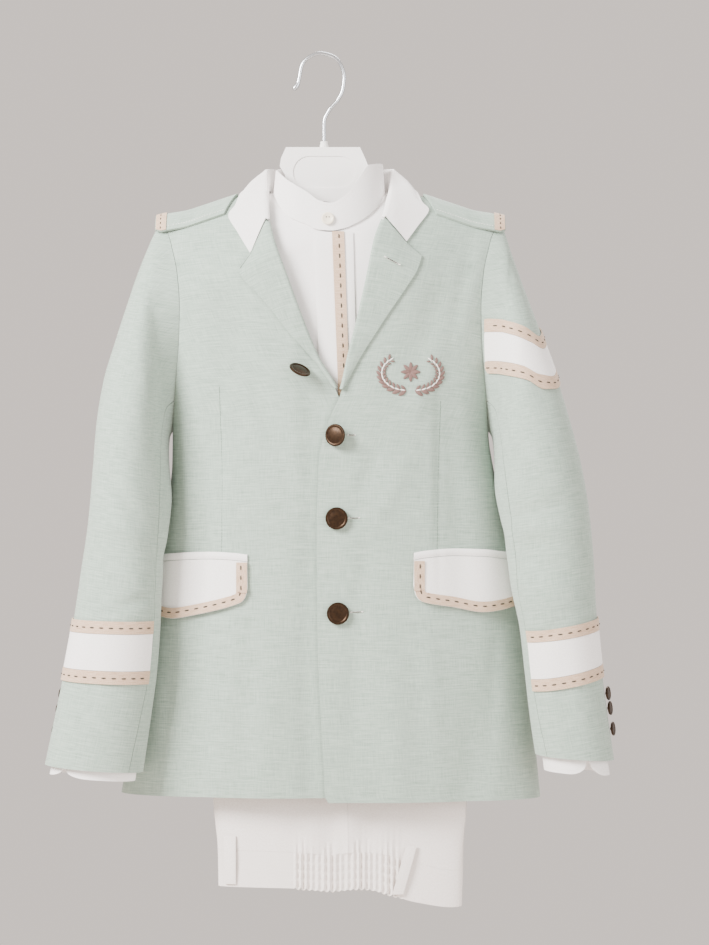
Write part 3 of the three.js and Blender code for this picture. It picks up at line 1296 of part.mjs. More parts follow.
// Legs: flattened tubes up to the bar, over it and down again
const BAR_Z = -240;
const FOLD_RADIUS = 11.8;
const LEG_PATH = [
  { y: -9, z: FORK_Z + SEAM, half: 55.6, thick: 6.8, toward: 0 },
  { y: -10.4, z: -500, half: 54, thick: 6, toward: 0 },
  { y: -11.4, z: -420, half: 51, thick: 5.2, toward: 0 },
  { y: -FOLD_RADIUS, z: -330, half: 48, thick: 5, toward: 0 },
  { y: -FOLD_RADIUS, z: BAR_Z, half: 46, thick: 4.6, toward: 0 },
  { y: -FOLD_RADIUS * 0.707, z: BAR_Z + FOLD_RADIUS * 0.707, half: 45.5, thick: 4.6, toward: 45 },
  { y: 0, z: BAR_Z + FOLD_RADIUS, half: 45, thick: 4.6, toward: 90 },
  { y: FOLD_RADIUS * 0.707, z: BAR_Z + FOLD_RADIUS * 0.707, half: 44.5, thick: 4.6, toward: 135 },
  { y: FOLD_RADIUS, z: BAR_Z, half: 44, thick: 4.6, toward: 180 },
  { y: FOLD_RADIUS, z: -330, half: 42, thick: 4.8, toward: 180 },
  { y: FOLD_RADIUS + 1, z: -480, half: 38, thick: 5.2, toward: 180 },
];
for (const { name, middle, shift } of [
  { name: "trousers_leg_viewer_left", middle: -49.8, shift: 2 },
  { name: "trousers_leg_viewer_right", middle: 62.4, shift: -8 },
]) {
  const steps = 10;
  const pointAt = (c, r) => {
    const row = LEG_PATH[r];
    const angle = (c / steps) * Math.PI * 2;
    const cosine = Math.cos(angle);
    const sine = Math.sin(angle);
    const toward = degrees(row.toward);
    const side = row.half * Math.sign(cosine) * Math.abs(cosine) ** 0.8;
    const off = row.thick * Math.sign(sine) * Math.abs(sine) ** 0.8;
    const x = middle + shift * Math.min(1, r / 4) + side;
    return new THREE.Vector3(x, row.y - off * Math.cos(toward), row.z + off * Math.sin(toward));
  };
  const normalAt = (c, r) => {
    const angle = (c / steps) * Math.PI * 2;
    const toward = degrees(LEG_PATH[r].toward);
    const sine = Math.sin(angle);
    const flatY = -sine * Math.cos(toward);
    const flatZ = sine * Math.sin(toward);
    const flat = new THREE.Vector3(0.35 * Math.cos(angle), flatY, flatZ);
    return flat.normalize();
  };
  const options = { closed: true, normalAt };
  const grid = makeGrid(steps, LEG_PATH.length - 1, pointAt, () => new THREE.Vector3(), options);
  addCloth(name, "trouser", grid, 1.1);
}

// Belt loops over the waistband
const LOOPS = [
  {
    sign: LEFT, lift: 2,
    topFrom: -97.3, topTo: -86.2, topZ: -713,
    lowFrom: -96.4, lowTo: -86.1, lowZ: -757,
  },
  {
    sign: RIGHT, lift: 2.8,
    topFrom: 68.9, topTo: 78.6, topZ: -722,
    lowFrom: 56.2, lowTo: 66.4, lowZ: -765.6,
  },
];
for (const { sign, lift, topFrom, topTo, topZ, lowFrom, lowTo, lowZ } of LOOPS) {
  const pointAt = (c, r) => {
    const t = r / 4;
    const x = mix(mix(topFrom, lowFrom, t), mix(topTo, lowTo, t), c / 2);
    const z = mix(topZ, lowZ, t);
    const row = hipsAt(z);
    const across = Math.min(Math.abs(x - row.middle) / row.half, 1);
    const y = row.midY - row.deep * Math.sqrt(Math.max(0, 1 - across ** 2.5)) ** 0.8;
    return new THREE.Vector3(x, y - lift - 1.2 * Math.sin(Math.PI * t), z);
  };
  const normalAt = () => new THREE.Vector3(0, -1, 0);
  const grid = makeGrid(2, 4, pointAt, () => new THREE.Vector3(), { normalAt });
  addCloth(`belt_loop_${sign === LEFT ? "viewer_left" : "viewer_right"}`, "trouser", grid, 1.2);
}

// Hanger: one moulded frame with a plate and an oval recess, a boss and a wire hook
const HANGER = { thick: 8, recess: 0.8, clear: 11.5 };
const frame = new THREE.Shape();
const armZ = (x) => ridge(x) - HANGER.clear;
frame.moveTo(-40.7, -84.7);
frame.lineTo(27, -84.7);
frame.lineTo(31.6, -94.7);
frame.lineTo(35, -103);
frame.quadraticCurveTo(36, -133, 57, armZ(57) - 1);
frame.lineTo(120, armZ(120));
frame.quadraticCurveTo(134, armZ(134) - 1, 128, -172);
frame.lineTo(107, -240);
frame.quadraticCurveTo(106, -244, 101, -244);
frame.lineTo(-113, -244);
frame.quadraticCurveTo(-118, -244, -119, -240);
frame.lineTo(-140, -172);
frame.quadraticCurveTo(-146, armZ(140) - 1, -132, armZ(132));
frame.lineTo(-57, armZ(57) - 1);
frame.quadraticCurveTo(-41, -133, -41.5, -110);
frame.lineTo(-46.4, -102);
frame.lineTo(-45.3, -94.7);
frame.closePath();
const opening = new THREE.Path();
opening.moveTo(-5.9, -134);
opening.lineTo(-57, armZ(57) - 14);
opening.lineTo(-130, -173);
opening.lineTo(-110, -236);
opening.lineTo(98, -236);
opening.lineTo(118, -173);
opening.lineTo(46, armZ(57) - 14);
opening.closePath();
frame.holes.push(opening);

const manifold = await ManifoldModule();
manifold.setup();

/** Solid for joining and cutting, from a geometry made here. */
function solidFrom(geometry) {
  const plain = geometry.index ? geometry.toNonIndexed() : geometry;
  const positions = plain.attributes.position;
  const mesh = new manifold.Mesh({
    numProp: 3,
    vertProperties: new Float32Array(positions.array),
    triVerts: Uint32Array.from({ length: positions.count }, (_, i) => i),
  });
  mesh.merge();
  return new manifold.Manifold(mesh);
}

function addSolid(name, slot, solid, offsetX = AXIS_X) {
  const mesh = solid.getMesh();
  addMesh(name, slot, Array.from(mesh.vertProperties), Array.from(mesh.triVerts), offsetX);
}

/** Sheet outline drawn in the front view, given its thickness about the middle plane. */
function upright(shape, from, to, curveSegments) {
  const options = { depth: to - from, bevelEnabled: false, curveSegments };
  const geometry = new THREE.ExtrudeGeometry(shape, options);
  geometry.rotateX(Math.PI / 2);
  geometry.translate(0, to, 0);
  return geometry;
}
const stadium = new THREE.Shape();
stadium.absarc(-19.7, -107.5, 14.6, Math.PI / 2, (Math.PI * 3) / 2, false);
stadium.absarc(8.4, -107.5, 14.6, -Math.PI / 2, Math.PI / 2, false);
stadium.closePath();
const plateFront = -HANGER.thick / 2;
const frameSolid = solidFrom(upright(frame, plateFront, HANGER.thick / 2, 6));
const recessTool = solidFrom(upright(stadium, plateFront - 1, plateFront + HANGER.recess, 10));
const boss = turned([[0, 0], [3.9, 0], [3.9, 2.4], [3.3, 4.4], [3.3, 6.2], [0, 6.2]], 16);
boss.rotateX(Math.PI / 2);
boss.translate(-5.9, 0, -85.4);
addSolid("hanger_frame", "hanger_plastic", frameSolid.subtract(recessTool).add(solidFrom(boss)));

const HOOK = [
  { x: 3.6, z: -78.8 },
  { x: 3.6, z: -62 },
  { x: 8, z: -51 },
  { x: 16, z: -41.5 },
  { x: 20.8, z: -31 },
  { x: 22, z: -20 },
  { x: 18.8, z: -8.4 },
  { x: 11, z: -0.8 },
  { x: 0, z: 1.75 },
  { x: -10.6, z: -2 },
  { x: -17, z: -10 },
  { x: -18.8, z: -19 },
  { x: -20.4, z: -26 },
  { x: -24.4, z: -32 },
];
const WIRE = 1.75;
const hookPath = new THREE.CatmullRomCurve3(HOOK.map((p) => new THREE.Vector3(p.x, 0, p.z)));
const wireRound = new THREE.Shape();
wireRound.absarc(0, 0, WIRE, 0, Math.PI * 2, false);
const hookOptions = { steps: 26, extrudePath: hookPath, curveSegments: 5 };
const hookWire = new THREE.ExtrudeGeometry(wireRound, hookOptions);
const tipBall = new THREE.SphereGeometry(2.3, 10, 6);
tipBall.translate(-24.6, 0, -32.4);
addSolid("hanger_hook", "hook_wire", solidFrom(hookWire).add(solidFrom(tipBall)), 0);

export default group;
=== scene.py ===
import math
from types import SimpleNamespace

import bpy
import numpy as np
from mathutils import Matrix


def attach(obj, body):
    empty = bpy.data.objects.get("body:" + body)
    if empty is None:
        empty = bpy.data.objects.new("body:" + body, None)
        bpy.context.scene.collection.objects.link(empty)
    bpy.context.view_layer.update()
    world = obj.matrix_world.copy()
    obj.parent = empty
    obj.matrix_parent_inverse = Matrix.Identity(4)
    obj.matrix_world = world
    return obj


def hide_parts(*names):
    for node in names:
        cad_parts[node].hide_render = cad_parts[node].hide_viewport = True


bl_info = {
    "name": "First communion suit",
    "version": (1, 0, 0),
    "blender": (4, 5, 0),
    "location": "View3D > Sidebar > Suit",
    "description": "Builds the cloth, trims and stage of a child's suit on a hanger",
    "category": "Add Mesh",
}

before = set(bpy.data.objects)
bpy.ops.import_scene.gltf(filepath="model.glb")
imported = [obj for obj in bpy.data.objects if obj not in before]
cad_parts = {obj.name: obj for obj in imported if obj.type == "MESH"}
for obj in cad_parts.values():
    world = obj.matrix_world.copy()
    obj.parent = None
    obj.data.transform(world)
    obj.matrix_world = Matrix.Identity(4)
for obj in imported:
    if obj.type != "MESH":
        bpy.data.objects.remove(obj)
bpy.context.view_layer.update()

MM = 0.001
AXIS_X = 9.5
SEAM = 0.4
SHIRT_INSET = 6.0
LEFT, RIGHT = -1, 1
FRONT, BACK = -1, 1
NECK_HALF = 57.0
RIDGE_Z = -120.5
RIDGE_SLOPE = 0.335
ARM_TOP_Z = -154.0
ARM_BOTTOM_Z = -345.0
BODY_ROUND = 2.2
SHIRT_HEM_Z = -600.0
FORK_Z = -560.0
BAR_Z = -240.0
FOLD_RADIUS = 11.8
LAST_RING = 13.0
# How much deeper the creases of the cloth are than those of the solids
CREASE = 1.3


# Tables and curves


def table(columns, *rows):
    """Table of named columns, one row for each section."""
    names = columns.split()
    return {name: np.array([row[i] for row in rows], float) for i, name in enumerate(names)}


def reader(rows, key):
    """Reader of a table: a smooth curve through every column, level where it turns."""
    order = np.argsort(rows[key])
    knots = rows[key][order]
    wide = np.diff(knots)
    curves = {}
    for name, column in rows.items():
        values = column[order]
        secant = np.diff(values) / wide
        before, after = secant[:-1], secant[1:]
        total = np.where(before + after == 0, 1, before + after)
        inner = np.where(before * after > 0, 2 * before * after / total, 0)
        curves[name] = (values, np.concatenate([secant[:1], inner, secant[-1:]]))

    def read(value):
        at = np.clip(np.asarray(value, float), knots[0], knots[-1])
        i = np.clip(np.searchsorted(knots, at, side="right") - 1, 0, len(wide) - 1)
        t = (at - knots[i]) / wide[i]
        cubic = t * t * (2 * t - 3)
        out = {}
        for name, (values, slope) in curves.items():
            rise = slope[i] * (t ** 3 - 2 * t * t + t) + slope[i + 1] * (t ** 3 - t * t)
            out[name] = values[i] * (cubic + 1) - values[i + 1] * cubic + wide[i] * rise
        return SimpleNamespace(**out)

    return read


def unit(directions):
    """The same directions, each of length 1."""
    return directions / np.linalg.norm(directions, axis=-1, keepdims=True)


def mix(a, b, t):
    """Value between a and b at part t."""
    return a + (b - a) * t


def ease(start, end, value):
    """Smooth step from 0 at start to 1 at end."""
    t = np.clip((np.asarray(value, float) - start) / (end - start), 0, 1)
    return t * t * (3 - 2 * t)


BODY = table(
    "z left right seam front back",
    (-154, 172, 172, 0, 48, 42),
    (-240, 158, 158, 2, 50, 44),
    (-300, 149, 149, 3.5, 50, 45),
    (-345, 145, 145, 5, 50, 45),
    (-375, 145.5, 149, 7, 50, 45),
    (-410, 150, 158, 9, 50, 45),
    (-450, 157, 166, 10, 49, 45),
    (-550, 172, 180, 10, 48, 45),
    (-680, 193, 193, 10, 45, 44),
)
ARMHOLE = table(
    "rise front back",
    (1, 157, 157),
    (0.91, 149, 152),
    (0.73, 143.5, 148.5),
    (0.5, 138.8, 145.5),
    (0.2, 136.5, 143.8),
    (-0.1, 137.2, 143.2),
    (-0.5, 140.5, 143.6),
    (-0.8, 143.3, 144.4),
    (-1, 145, 145),
)
SLEEVE_LEFT = table(
    "ring outX outZ inX inZ midY deep",
    (0, 157, -154, 145, -345, 0, 27),
    (1, 166, -174, 147.5, -351, 0, 36),
    (2, 176, -200, 148.5, -359, -4, 42),
    (3, 186, -231, 149, -369, -9, 46),
    (4, 196, -264, 149.3, -381, -15, 47),
    (5, 206, -300, 149.6, -396, -21, 46),
    (6, 212, -341, 150, -416, -27, 44),
    (7, 215, -385, 150.5, -441, -32, 41),
    (8, 218.5, -428, 151.5, -466, -36, 38),
    (9, 224.5, -470, 152.3, -491, -38, 36),
    (10, 231, -513, 153, -516, -38, 35),
    (11, 239, -557, 156, -560, -38, 34),
    (12, 248, -602, 162, -606, -39, 33),
    (13, 257, -645, 168.5, -652, -40, 32),
)
SLEEVE_RIGHT = table(
    "ring outX outZ inX inZ midY deep",
    (0, 157, -154, 145, -345, 0, 27),
    (1, 164, -176, 148.5, -351, 0, 36),
    (2, 173, -203, 150, -359, -4, 42),
    (3, 183, -231, 151.5, -368, -9, 46),
    (4, 194, -262, 153, -378, -15, 47),
    (5, 206, -297, 155, -391, -21, 46),
    (6, 217, -335, 157, -408, -27, 44),
    (7, 227, -375, 158.5, -430, -32, 41),
    (8, 234, -418, 160.5, -456, -36, 38),
    (9, 238, -464, 164, -487, -38, 36),
    (10, 240.5, -512, 171, -522, -38, 35),
    (11, 244.5, -556, 176, -566, -38, 34),
    (12, 250, -600, 180.5, -605, -39, 33),
    (13, 256, -641, 185, -636, -40, 32),
)
SLEEVE_SEAMS = table(
    "ring front back", (0, 135, -45), (6, 146, -30), (10, 152, -16), (13, 138, -12)
)
EDGE_LEFT = table(
    "z x",
    (-676, 12), (-330, 12), (-307, 4.6), (-280, -11.5), (-258, -21), (-207, -40),
    (-164.6, -54.5), (-150, -57), (-120.5, -58.5),
)
EDGE_RIGHT = table(
    "z x",
    (-680, -1.5), (-674, -4.6), (-658, -5.4), (-531, -11.2), (-433, -12), (-402, -11.2),
    (-369, -9.8), (-353, -6.5), (-334, -0.3), (-309, 10.5), (-276.6, 18), (-245, 26),
    (-209.7, 34), (-171.3, 42), (-149.9, 49.5), (-120.5, 56),
)
LAPEL_LEFT = table(
    "row rollZ outX outZ",
    (0, -307, 0.4, -302.8), (1, -292, -10, -287.5), (2, -271, -24.5, -271),
    (3, -249, -37.5, -256), (4, -226, -52, -237), (5, -201, -66.6, -220),
    (6, -179, -79, -207), (7, -168, -83, -200.3), (8, -156, -71.6, -187.4),
)
LAPEL_RIGHT = table(
    "row rollZ outX outZ",
    (0, -308, 14.6, -303.8), (1, -285, 26.4, -280.5), (2, -262, 39.9, -258.8),
    (3, -238, 52.7, -239), (4, -212, 67, -218), (5, -190, 79, -198.3),
    (6, -174, 82.2, -188), (7, -154.4, 68.6, -176.2),
)
# White collar. Kind 0 turns over the front, 1 to 3 stand up round the neck
COLLAR = table(
    "kind standX standY standZ foldX foldY foldZ outX outZ",
    (0, 0, 0, 0, 0, 0, -153.4, -71.4, -185.6),
    (0, 0, 0, 0, 0, 0, -146, -83, -166.5),
    (0, 0, 0, 0, 0, 0, -137, -92.2, -150),
    (1, -56.4, -4, -125, -58, -8, -117, -87, -139),
    (2, -55.4, 0, -119, -58.2, 0, -105.5, -80, -126),
    (3, -45, 16, -123, -47, 19, -102.5, -64, -138),
    (3, -25, 23, -125, -26, 26, -101, -34, -146),
    (3, 0, 25, -126, 0, 28, -100.5, 0, -149),
    (3, 25, 23, -125, 26, 26, -101, 34, -146),
    (3, 44, 16, -123, 46, 19, -102.5, 62, -138),
    (2, 53.6, 0, -119, 56.6, 0, -105, 77, -125),
    (1, 53.6, -4, -125, 55, -8, -116, 84, -136),
    (0, 0, 0, 0, 0, 0, -135, 89.2, -144.7),
    (0, 0, 0, 0, 0, 0, -144, 79, -160),
    (0, 0, 0, 0, 0, 0, -152, 68.6, -174.4),
)
SHIRT_COLLAR = table(
    "turn top base",
    (-180, -101, -132), (-120, -103.5, -128.6), (-100, -105.5, -127), (-80, -107, -130),
    (-47, -118.5, -147), (-25, -128.5, -156.5), (-10, -136.8, -163), (2, -138.7, -164),
    (16, -132.5, -161), (29, -120.5, -155), (49, -103, -144), (80, -101, -130),
    (100, -101, -127), (120, -101, -128.6), (180, -101, -132),
)
FLAP_LEFT = table(
    "x top bottom",
    (74.3, -463, -486), (76, -463, -494.5), (79, -462.6, -498.8), (84, -462, -501.4),
    (104, -461, -507.5), (124, -461.5, -512), (142, -463, -515), (156, -464.5, -512.5),
)
FLAP_RIGHT = table(
    "x top bottom",
    (75.2, -461.6, -484), (77, -461.2, -493), (80, -460.6, -497.2), (85, -459.8, -499.6),
    (110, -458, -504), (138, -459, -509), (152, -461, -507.5), (165, -463, -504.5),
)
CUFF_BANDS = {
    "viewer_left": (
        ("upper_ribbon", -514, -515.5, -525.3, -526.8),
        ("white", -525.6, -527.1, -557.4, -559.9),
        ("lower_ribbon", -557.7, -560.2, -569, -571.8),
    ),
    "viewer_right": (
        ("upper_ribbon", -512.6, -524, -523.4, -534.4),
        ("white", -523.7, -534.7, -554, -567.2),
        ("lower_ribbon", -554.3, -567.5, -565.5, -578.2),
    ),
}
CHEVRON = table(
    "column top low",
    (0.1, -243, -291), (1, -249, -297.5), (2, -254.5, -302.5), (3, -260, -307.5),
    (4, -252, -308), (5, -246.5, -300), (6, -242.5, -296), (7.2, -242, -292),
)
CHEVRON_STRIPS = (
    ("upper_ribbon", 0, 0.235, 5.8, 6.1),
    ("white", 0.24, 0.76, 6.16, 6.84),
    ("lower_ribbon", 0.765, 1, 6.88, 7.1),
)
WAIST = table(
    "x seam edge",
    (-103, -726.2, -759.6), (-35, -727.8, -760.5), (0, -730, -763), (29, -727.5, -761),
    (56, -731.5, -767), (77, -737.5, -773), (114, -745, -778.5), (121, -745, -778),
)
HIPS = table(
    "z middle half midY deep",
    (-780, 9, 111, -8, 14), (-727, 9, 112, -8, 13), (-680, 8.5, 115.5, -8.5, 11),
    (-560, 6.3, 113, -9, 7),
)
LEG_PATH = table(
    "step y z half thick toward",
    (0, -9, FORK_Z + SEAM, 55.6, 6.8, 0), (1, -10.4, -500, 54, 6, 0),
    (2, -11.4, -420, 51, 5.2, 0), (3, -FOLD_RADIUS, -330, 48, 5, 0),
    (4, -FOLD_RADIUS, BAR_Z, 46, 4.6, 0),
    (5, -FOLD_RADIUS * 0.707, BAR_Z + FOLD_RADIUS * 0.707, 45.5, 4.6, 45),
    (6, 0, BAR_Z + FOLD_RADIUS, 45, 4.6, 90),
    (7, FOLD_RADIUS * 0.707, BAR_Z + FOLD_RADIUS * 0.707, 44.5, 4.6, 135),
    (8, FOLD_RADIUS, BAR_Z, 44, 4.6, 180), (9, FOLD_RADIUS, -330, 42, 4.8, 180),
    (10, FOLD_RADIUS + 1, -480, 38, 5.2, 180),
)
HOOK = table(
    "step x z",
    (0, 3.6, -78.8), (1, 3.6, -62), (2, 8, -51), (3, 16, -41.5), (4, 20.8, -31),
    (5, 22, -20), (6, 18.8, -8.4), (7, 11, -0.8), (8, 0, 1.75), (9, -10.6, -2),
    (10, -17, -10), (11, -18.8, -19), (12, -20.4, -26), (13, -24.4, -32),
)
# Soft troughs and ridges: place, reach across and along, lean in degrees, height
FOLDS_LEFT = table(
    "x z across along lean high",
    (-82, -262, 16, 60, -18, -2.2),
    (-98, -385, 3.4, 76, 0, -0.9),
    (-92, -385, 5, 70, 0, 0.5),
    (-112, -420, 18, 120, 4, -2.4),
    (-56, -610, 16, 90, 2, 2.2),
    (-120, -640, 18, 80, -6, -2.6),
    (-107, -300, 9, 46, -24, 1.1),
    (-128, -236, 7, 40, -12, -1.3),
    (-40, -382, 30, 9, 74, -1.0),
    (-62, -402, 34, 8, 66, 0.9),
    (-86, -560, 10, 70, 5, 1.2),
    (-26, -560, 9, 90, -2, -0.9),
    (-58, -340, 26, 7, 80, -0.8),
    (-150, -560, 8, 90, -3, -1.6),
)
FOLDS_RIGHT = table(
    "x z across along lean high",
    (98, -228, 16, 60, 20, -2.4),
    (97.5, -390, 3.4, 70, 0, -0.9),
    (91.5, -390, 5, 66, 0, 0.5),
    (112, -400, 17, 110, -5, -2.4),
    (60, -620, 18, 90, -3, 2.4),
    (128, -650, 18, 80, 6, -2.6),
    (118, -222, 8, 46, 14, -1.5),
    (88, -300, 10, 44, 20, 1.1),
    (34, -386, 32, 8, -72, -1.1),
    (54, -404, 34, 8, -64, 1.0),
    (30, -470, 30, 7, -82, -0.9),
    (92, -580, 10, 70, -4, 1.2),
    (22, -590, 9, 90, 2, -1.0),
    (150, -560, 8, 80, 4, -1.5),
)
FOLDS_BACK = table(
    "x z across along lean high",
    (-70, -560, 24, 140, 3, 3),
    (66, -590, 22, 120, -4, 2.6),
    (-8, -400, 26, 160, 1, -3),
    (96, -260, 20, 80, 14, -2.4),
    (-104, -250, 12, 60, -12, -1.6),
    (0, -190, 60, 8, 88, -1.2),
    (-40, -330, 44, 8, 80, 1.0),
    (52, -366, 40, 8, -78, -1.1),
    (110, -480, 10, 90, 3, -1.5),
    (-118, -520, 10, 90, -4, 1.4),
)
# Troughs of the sleeves: angle round the ring and ring
CREASES_LEFT = table(
    "x z across along lean high",
    (75, 8.6, 30, 0.8, 0, -2),
    (176, 4.6, 38, 2.4, 0, 8.6),
    (55, 4.2, 22, 1.6, 0, -1.8),
    (96, 6.9, 44, 0.28, -0.35, -1.3),
    (88, 7.6, 40, 0.22, 0.3, 1.0),
    (112, 9.5, 34, 0.2, 0.5, -1.0),
    (40, 1.6, 16, 1.3, 0, -1.2),
    (70, 11.6, 14, 1.2, 0, -0.9),
    (100, 2.6, 15, 1.5, 0, 1.0),
    (220, 7.4, 60, 0.5, 0.4, -1.8),
    (250, 8.4, 50, 0.4, -0.3, 1.2),
)
CREASES_RIGHT = table(
    "x z across along lean high",
    (176, 4.6, 38, 2.4, 0, 8.6),
    (120, 8.1, 34, 0.6, 0, -2.4),
    (112, 9.4, 30, 0.5, 0, 1.6),
    (60, 4.4, 24, 1.5, 0, -1.8),
    (104, 7.2, 46, 0.26, 0.5, -1.5),
    (92, 7.9, 44, 0.22, 0.55, 1.2),
    (84, 8.9, 42, 0.24, 0.6, -1.2),
    (104, 10.1, 30, 0.2, -0.4, -0.9),
    (44, 1.6, 16, 1.3, 0, -1.2),
    (96, 11.7, 14, 1.1, 0, -0.9),
    (230, 7.6, 60, 0.5, -0.4, -1.8),
    (255, 8.5, 50, 0.4, 0.3, 1.2),
)

body_at = reader(BODY, "z")
armhole_at = reader(ARMHOLE, "rise")
seams_at = reader(SLEEVE_SEAMS, "ring")
edge_left_at = reader(EDGE_LEFT, "z")
edge_right_at = reader(EDGE_RIGHT, "z")
waist_at = reader(WAIST, "x")
hips_at = reader(HIPS, "z")
shirt_collar_at = reader(SHIRT_COLLAR, "turn")
chevron_at = reader(CHEVRON, "column")


# Forms of the body and the sleeves


def ridge(x):
    """Height of the shoulder line."""
    return RIDGE_Z - RIDGE_SLOPE * np.maximum(0, np.abs(x) - NECK_HALF)


def half_at(sign, z):
    """Half width of the body at a height, on one side."""
    row = body_at(z)
    return row.left if sign < 0 else row.right


def depth(x, z, side, inset=0.0):
    """Depth of the body at a place in the front view.

    The section is a rounded superellipse from side seam to side seam, and it falls
    back to the seam plane under the shoulder line.
    """
    row = body_at(z)
    half = np.where(x < 0, row.left, row.right) - inset
    reach = (row.front if side == FRONT else row.back) - inset
    across = np.clip(np.abs(x) / half, 0, 1)
    rounded = (1 - across ** BODY_ROUND) ** (1 / BODY_ROUND)
    fall = mix(50, 80, ease(20, 80, np.abs(x))) if side == FRONT else 50
    power = 1.5 if side == FRONT else 1.7
    drop = np.clip((ridge(x) - inset * 0.9 - z) / fall, 0, 1)
    cap = (1 - (1 - drop) ** power) ** (1 / power)
    return row.seam + (side * reach - row.seam) * rounded * cap


def fold_height(folds, x, z):
    """Sum of soft humps, each along its own leaning line."""
    total = np.zeros(np.broadcast(x, z).shape)
    for i in range(len(folds["x"])):
        lean = math.radians(folds["lean"][i])
        dx, dz = x - folds["x"][i], z - folds["z"][i]
        across = (dx * math.cos(lean) - dz * math.sin(lean)) / folds["across"][i]
        along = (dx * math.sin(lean) + dz * math.cos(lean)) / folds["along"][i]
        total = total + CREASE * folds["high"][i] * np.exp(-across * across - along * along)
    return total


def fold_fade(x, z):
    """The folds die out towards the side seam, where the cloth is held."""
    half = np.where(x < 0, body_at(z).left, body_at(z).right)
    return 1 - ease(0.72, 0.98, np.abs(x) / half)


def underarm(inset):
    """Height of the underarm; what is worn inside has its own higher up."""
    return ARM_BOTTOM_Z + 2 * inset


def armhole_point(sign, angle, inset=0.0):
    """Point of the armhole loop: angle 0 at the shoulder, 90 degrees in front."""
    rise = np.cos(angle)
    row = armhole_at(rise)
    front = np.sin(angle) > 1e-9
    x = sign * (np.where(front, row.front, row.back) - inset * mix(1, 0.25, (rise + 1) / 2))
    top = ARM_TOP_Z - inset * 0.9 + RIDGE_SLOPE * inset * 0.25
    z = mix(underarm(inset), top, (rise + 1) / 2)
    y = np.where(np.sin(angle) >= 0, depth(x, z, FRONT, inset), depth(x, z, BACK, inset))
    return np.stack([x, y, z], -1)


def under_lap(x):
    """The front that lies underneath stands back where the other one laps over it."""
    return 3 * ease(-34, -14, x)


def front_y(sign, x, z):
    """Depth of a jacket front with its folds."""
    folds = FOLDS_LEFT if sign == LEFT else FOLDS_RIGHT
    push = under_lap(x) if sign == LEFT else 0
    return depth(x, z, FRONT) - fold_height(folds, x, z) * fold_fade(x, z) + push - SEAM / 2


def on_front(sign, x, z):
    """Points and outward directions on a jacket front at places in the front view."""
    x, z = np.broadcast_arrays(np.asarray(x, float), np.asarray(z, float))
    step = 0.8
    slope_x = (front_y(sign, x + step, z) - front_y(sign, x - step, z)) / (2 * step)
    slope_z = (front_y(sign, x, z + step) - front_y(sign, x, z - step)) / (2 * step)
    normal = np.stack([slope_x, -np.ones_like(x), slope_z], -1)
    normal = unit(normal)
    return np.stack([x, front_y(sign, x, z), z], -1), normal


def body_grid(sign, side, inner_at, hem_z, across, hem_rows, arm_rows, inset=0.0, bump=None):
    """Half of a body piece: rows up the side seam and round the armhole, columns across."""
    hem = mix(hem_z, underarm(inset), np.arange(hem_rows) / hem_rows)
    turn = math.pi * (1 - np.arange(arm_rows + 1) / arm_rows)
    hole = armhole_point(sign, turn if side == FRONT else -turn, inset)
    outer_x = np.concatenate([sign * (half_at(sign, hem) - inset), hole[:, 0]])[:, None]
    outer_z = np.concatenate([hem, hole[:, 2]])[:, None]
    rise = np.clip((outer_z - underarm(inset)) / (hole[-1, 2] - underarm(inset)), 0, 1)
    inner_x, inner_z = inner_at(rise, outer_z)
    half = np.maximum(half_at(sign, outer_z) - inset, np.abs(outer_x))
    start = np.arcsin(np.clip(sign * inner_x / half, -1, 1))
    stop = np.arcsin(np.clip(np.abs(outer_x) / half, 0, 1))
    x = sign * half * np.sin(mix(start, stop, np.arange(across + 1) / across))
    z = mix(inner_z, outer_z, np.clip((x - inner_x) / (outer_x - inner_x), 0, 1))
    y = depth(x, z, side, inset) + side * SEAM / 2
    if bump is not None:
        y = y + bump(x, z)
    return np.stack([x, y, z], -1)


def front_inner(edge_at):
    """Inner edge of a front, by how far up the armhole the row ends."""

    def inner(rise, z):
        height = np.where(rise > 0, mix(ARM_BOTTOM_Z, RIDGE_Z, rise), z)
        return edge_at(height).x, height

    return inner


def back_grid(hem_z, neck_drop, across, hem_rows, arm_rows, inset=0.0, folds=None):
    """Both halves of a back as one grid, with the neck cut down in the middle."""

    def inner(rise, z):
        top = RIDGE_Z - inset * 0.9 - neck_drop
        return np.zeros_like(z), np.where(rise > 0, mix(underarm(inset), top, rise), z)

    def bump(x, z):
        if folds is None:
            return np.zeros_like(x)
        return fold_height(folds, x, z) * fold_fade(x, z)

    halves = []
    for sign in (LEFT, RIGHT):
        grid = body_grid(sign, BACK, inner, hem_z, across, hem_rows, arm_rows, inset, bump)
        low = NECK_HALF - inset * 0.5
        x = grid[:, :, 0]
        near = np.clip(np.abs(x) / low, 0, 1)
        pull = neck_drop * np.sqrt(1 - near ** 2) * ease(-200, -131, grid[:, :, 2])
        flat = ridge(x) - inset * 0.9 - pull
        top = ease(arm_rows * 0.55 + hem_rows, arm_rows + hem_rows, np.arange(len(grid)))[:, None]
        grid[:, :, 2] = mix(grid[:, :, 2], flat, top)
        grid[:, :, 1] = depth(x, grid[:, :, 2], BACK, inset) + SEAM / 2 + bump(x, grid[:, :, 2])
        halves.append(grid)
    return np.concatenate([halves[0][:, ::-1], halves[1][:, 1:]], 1)


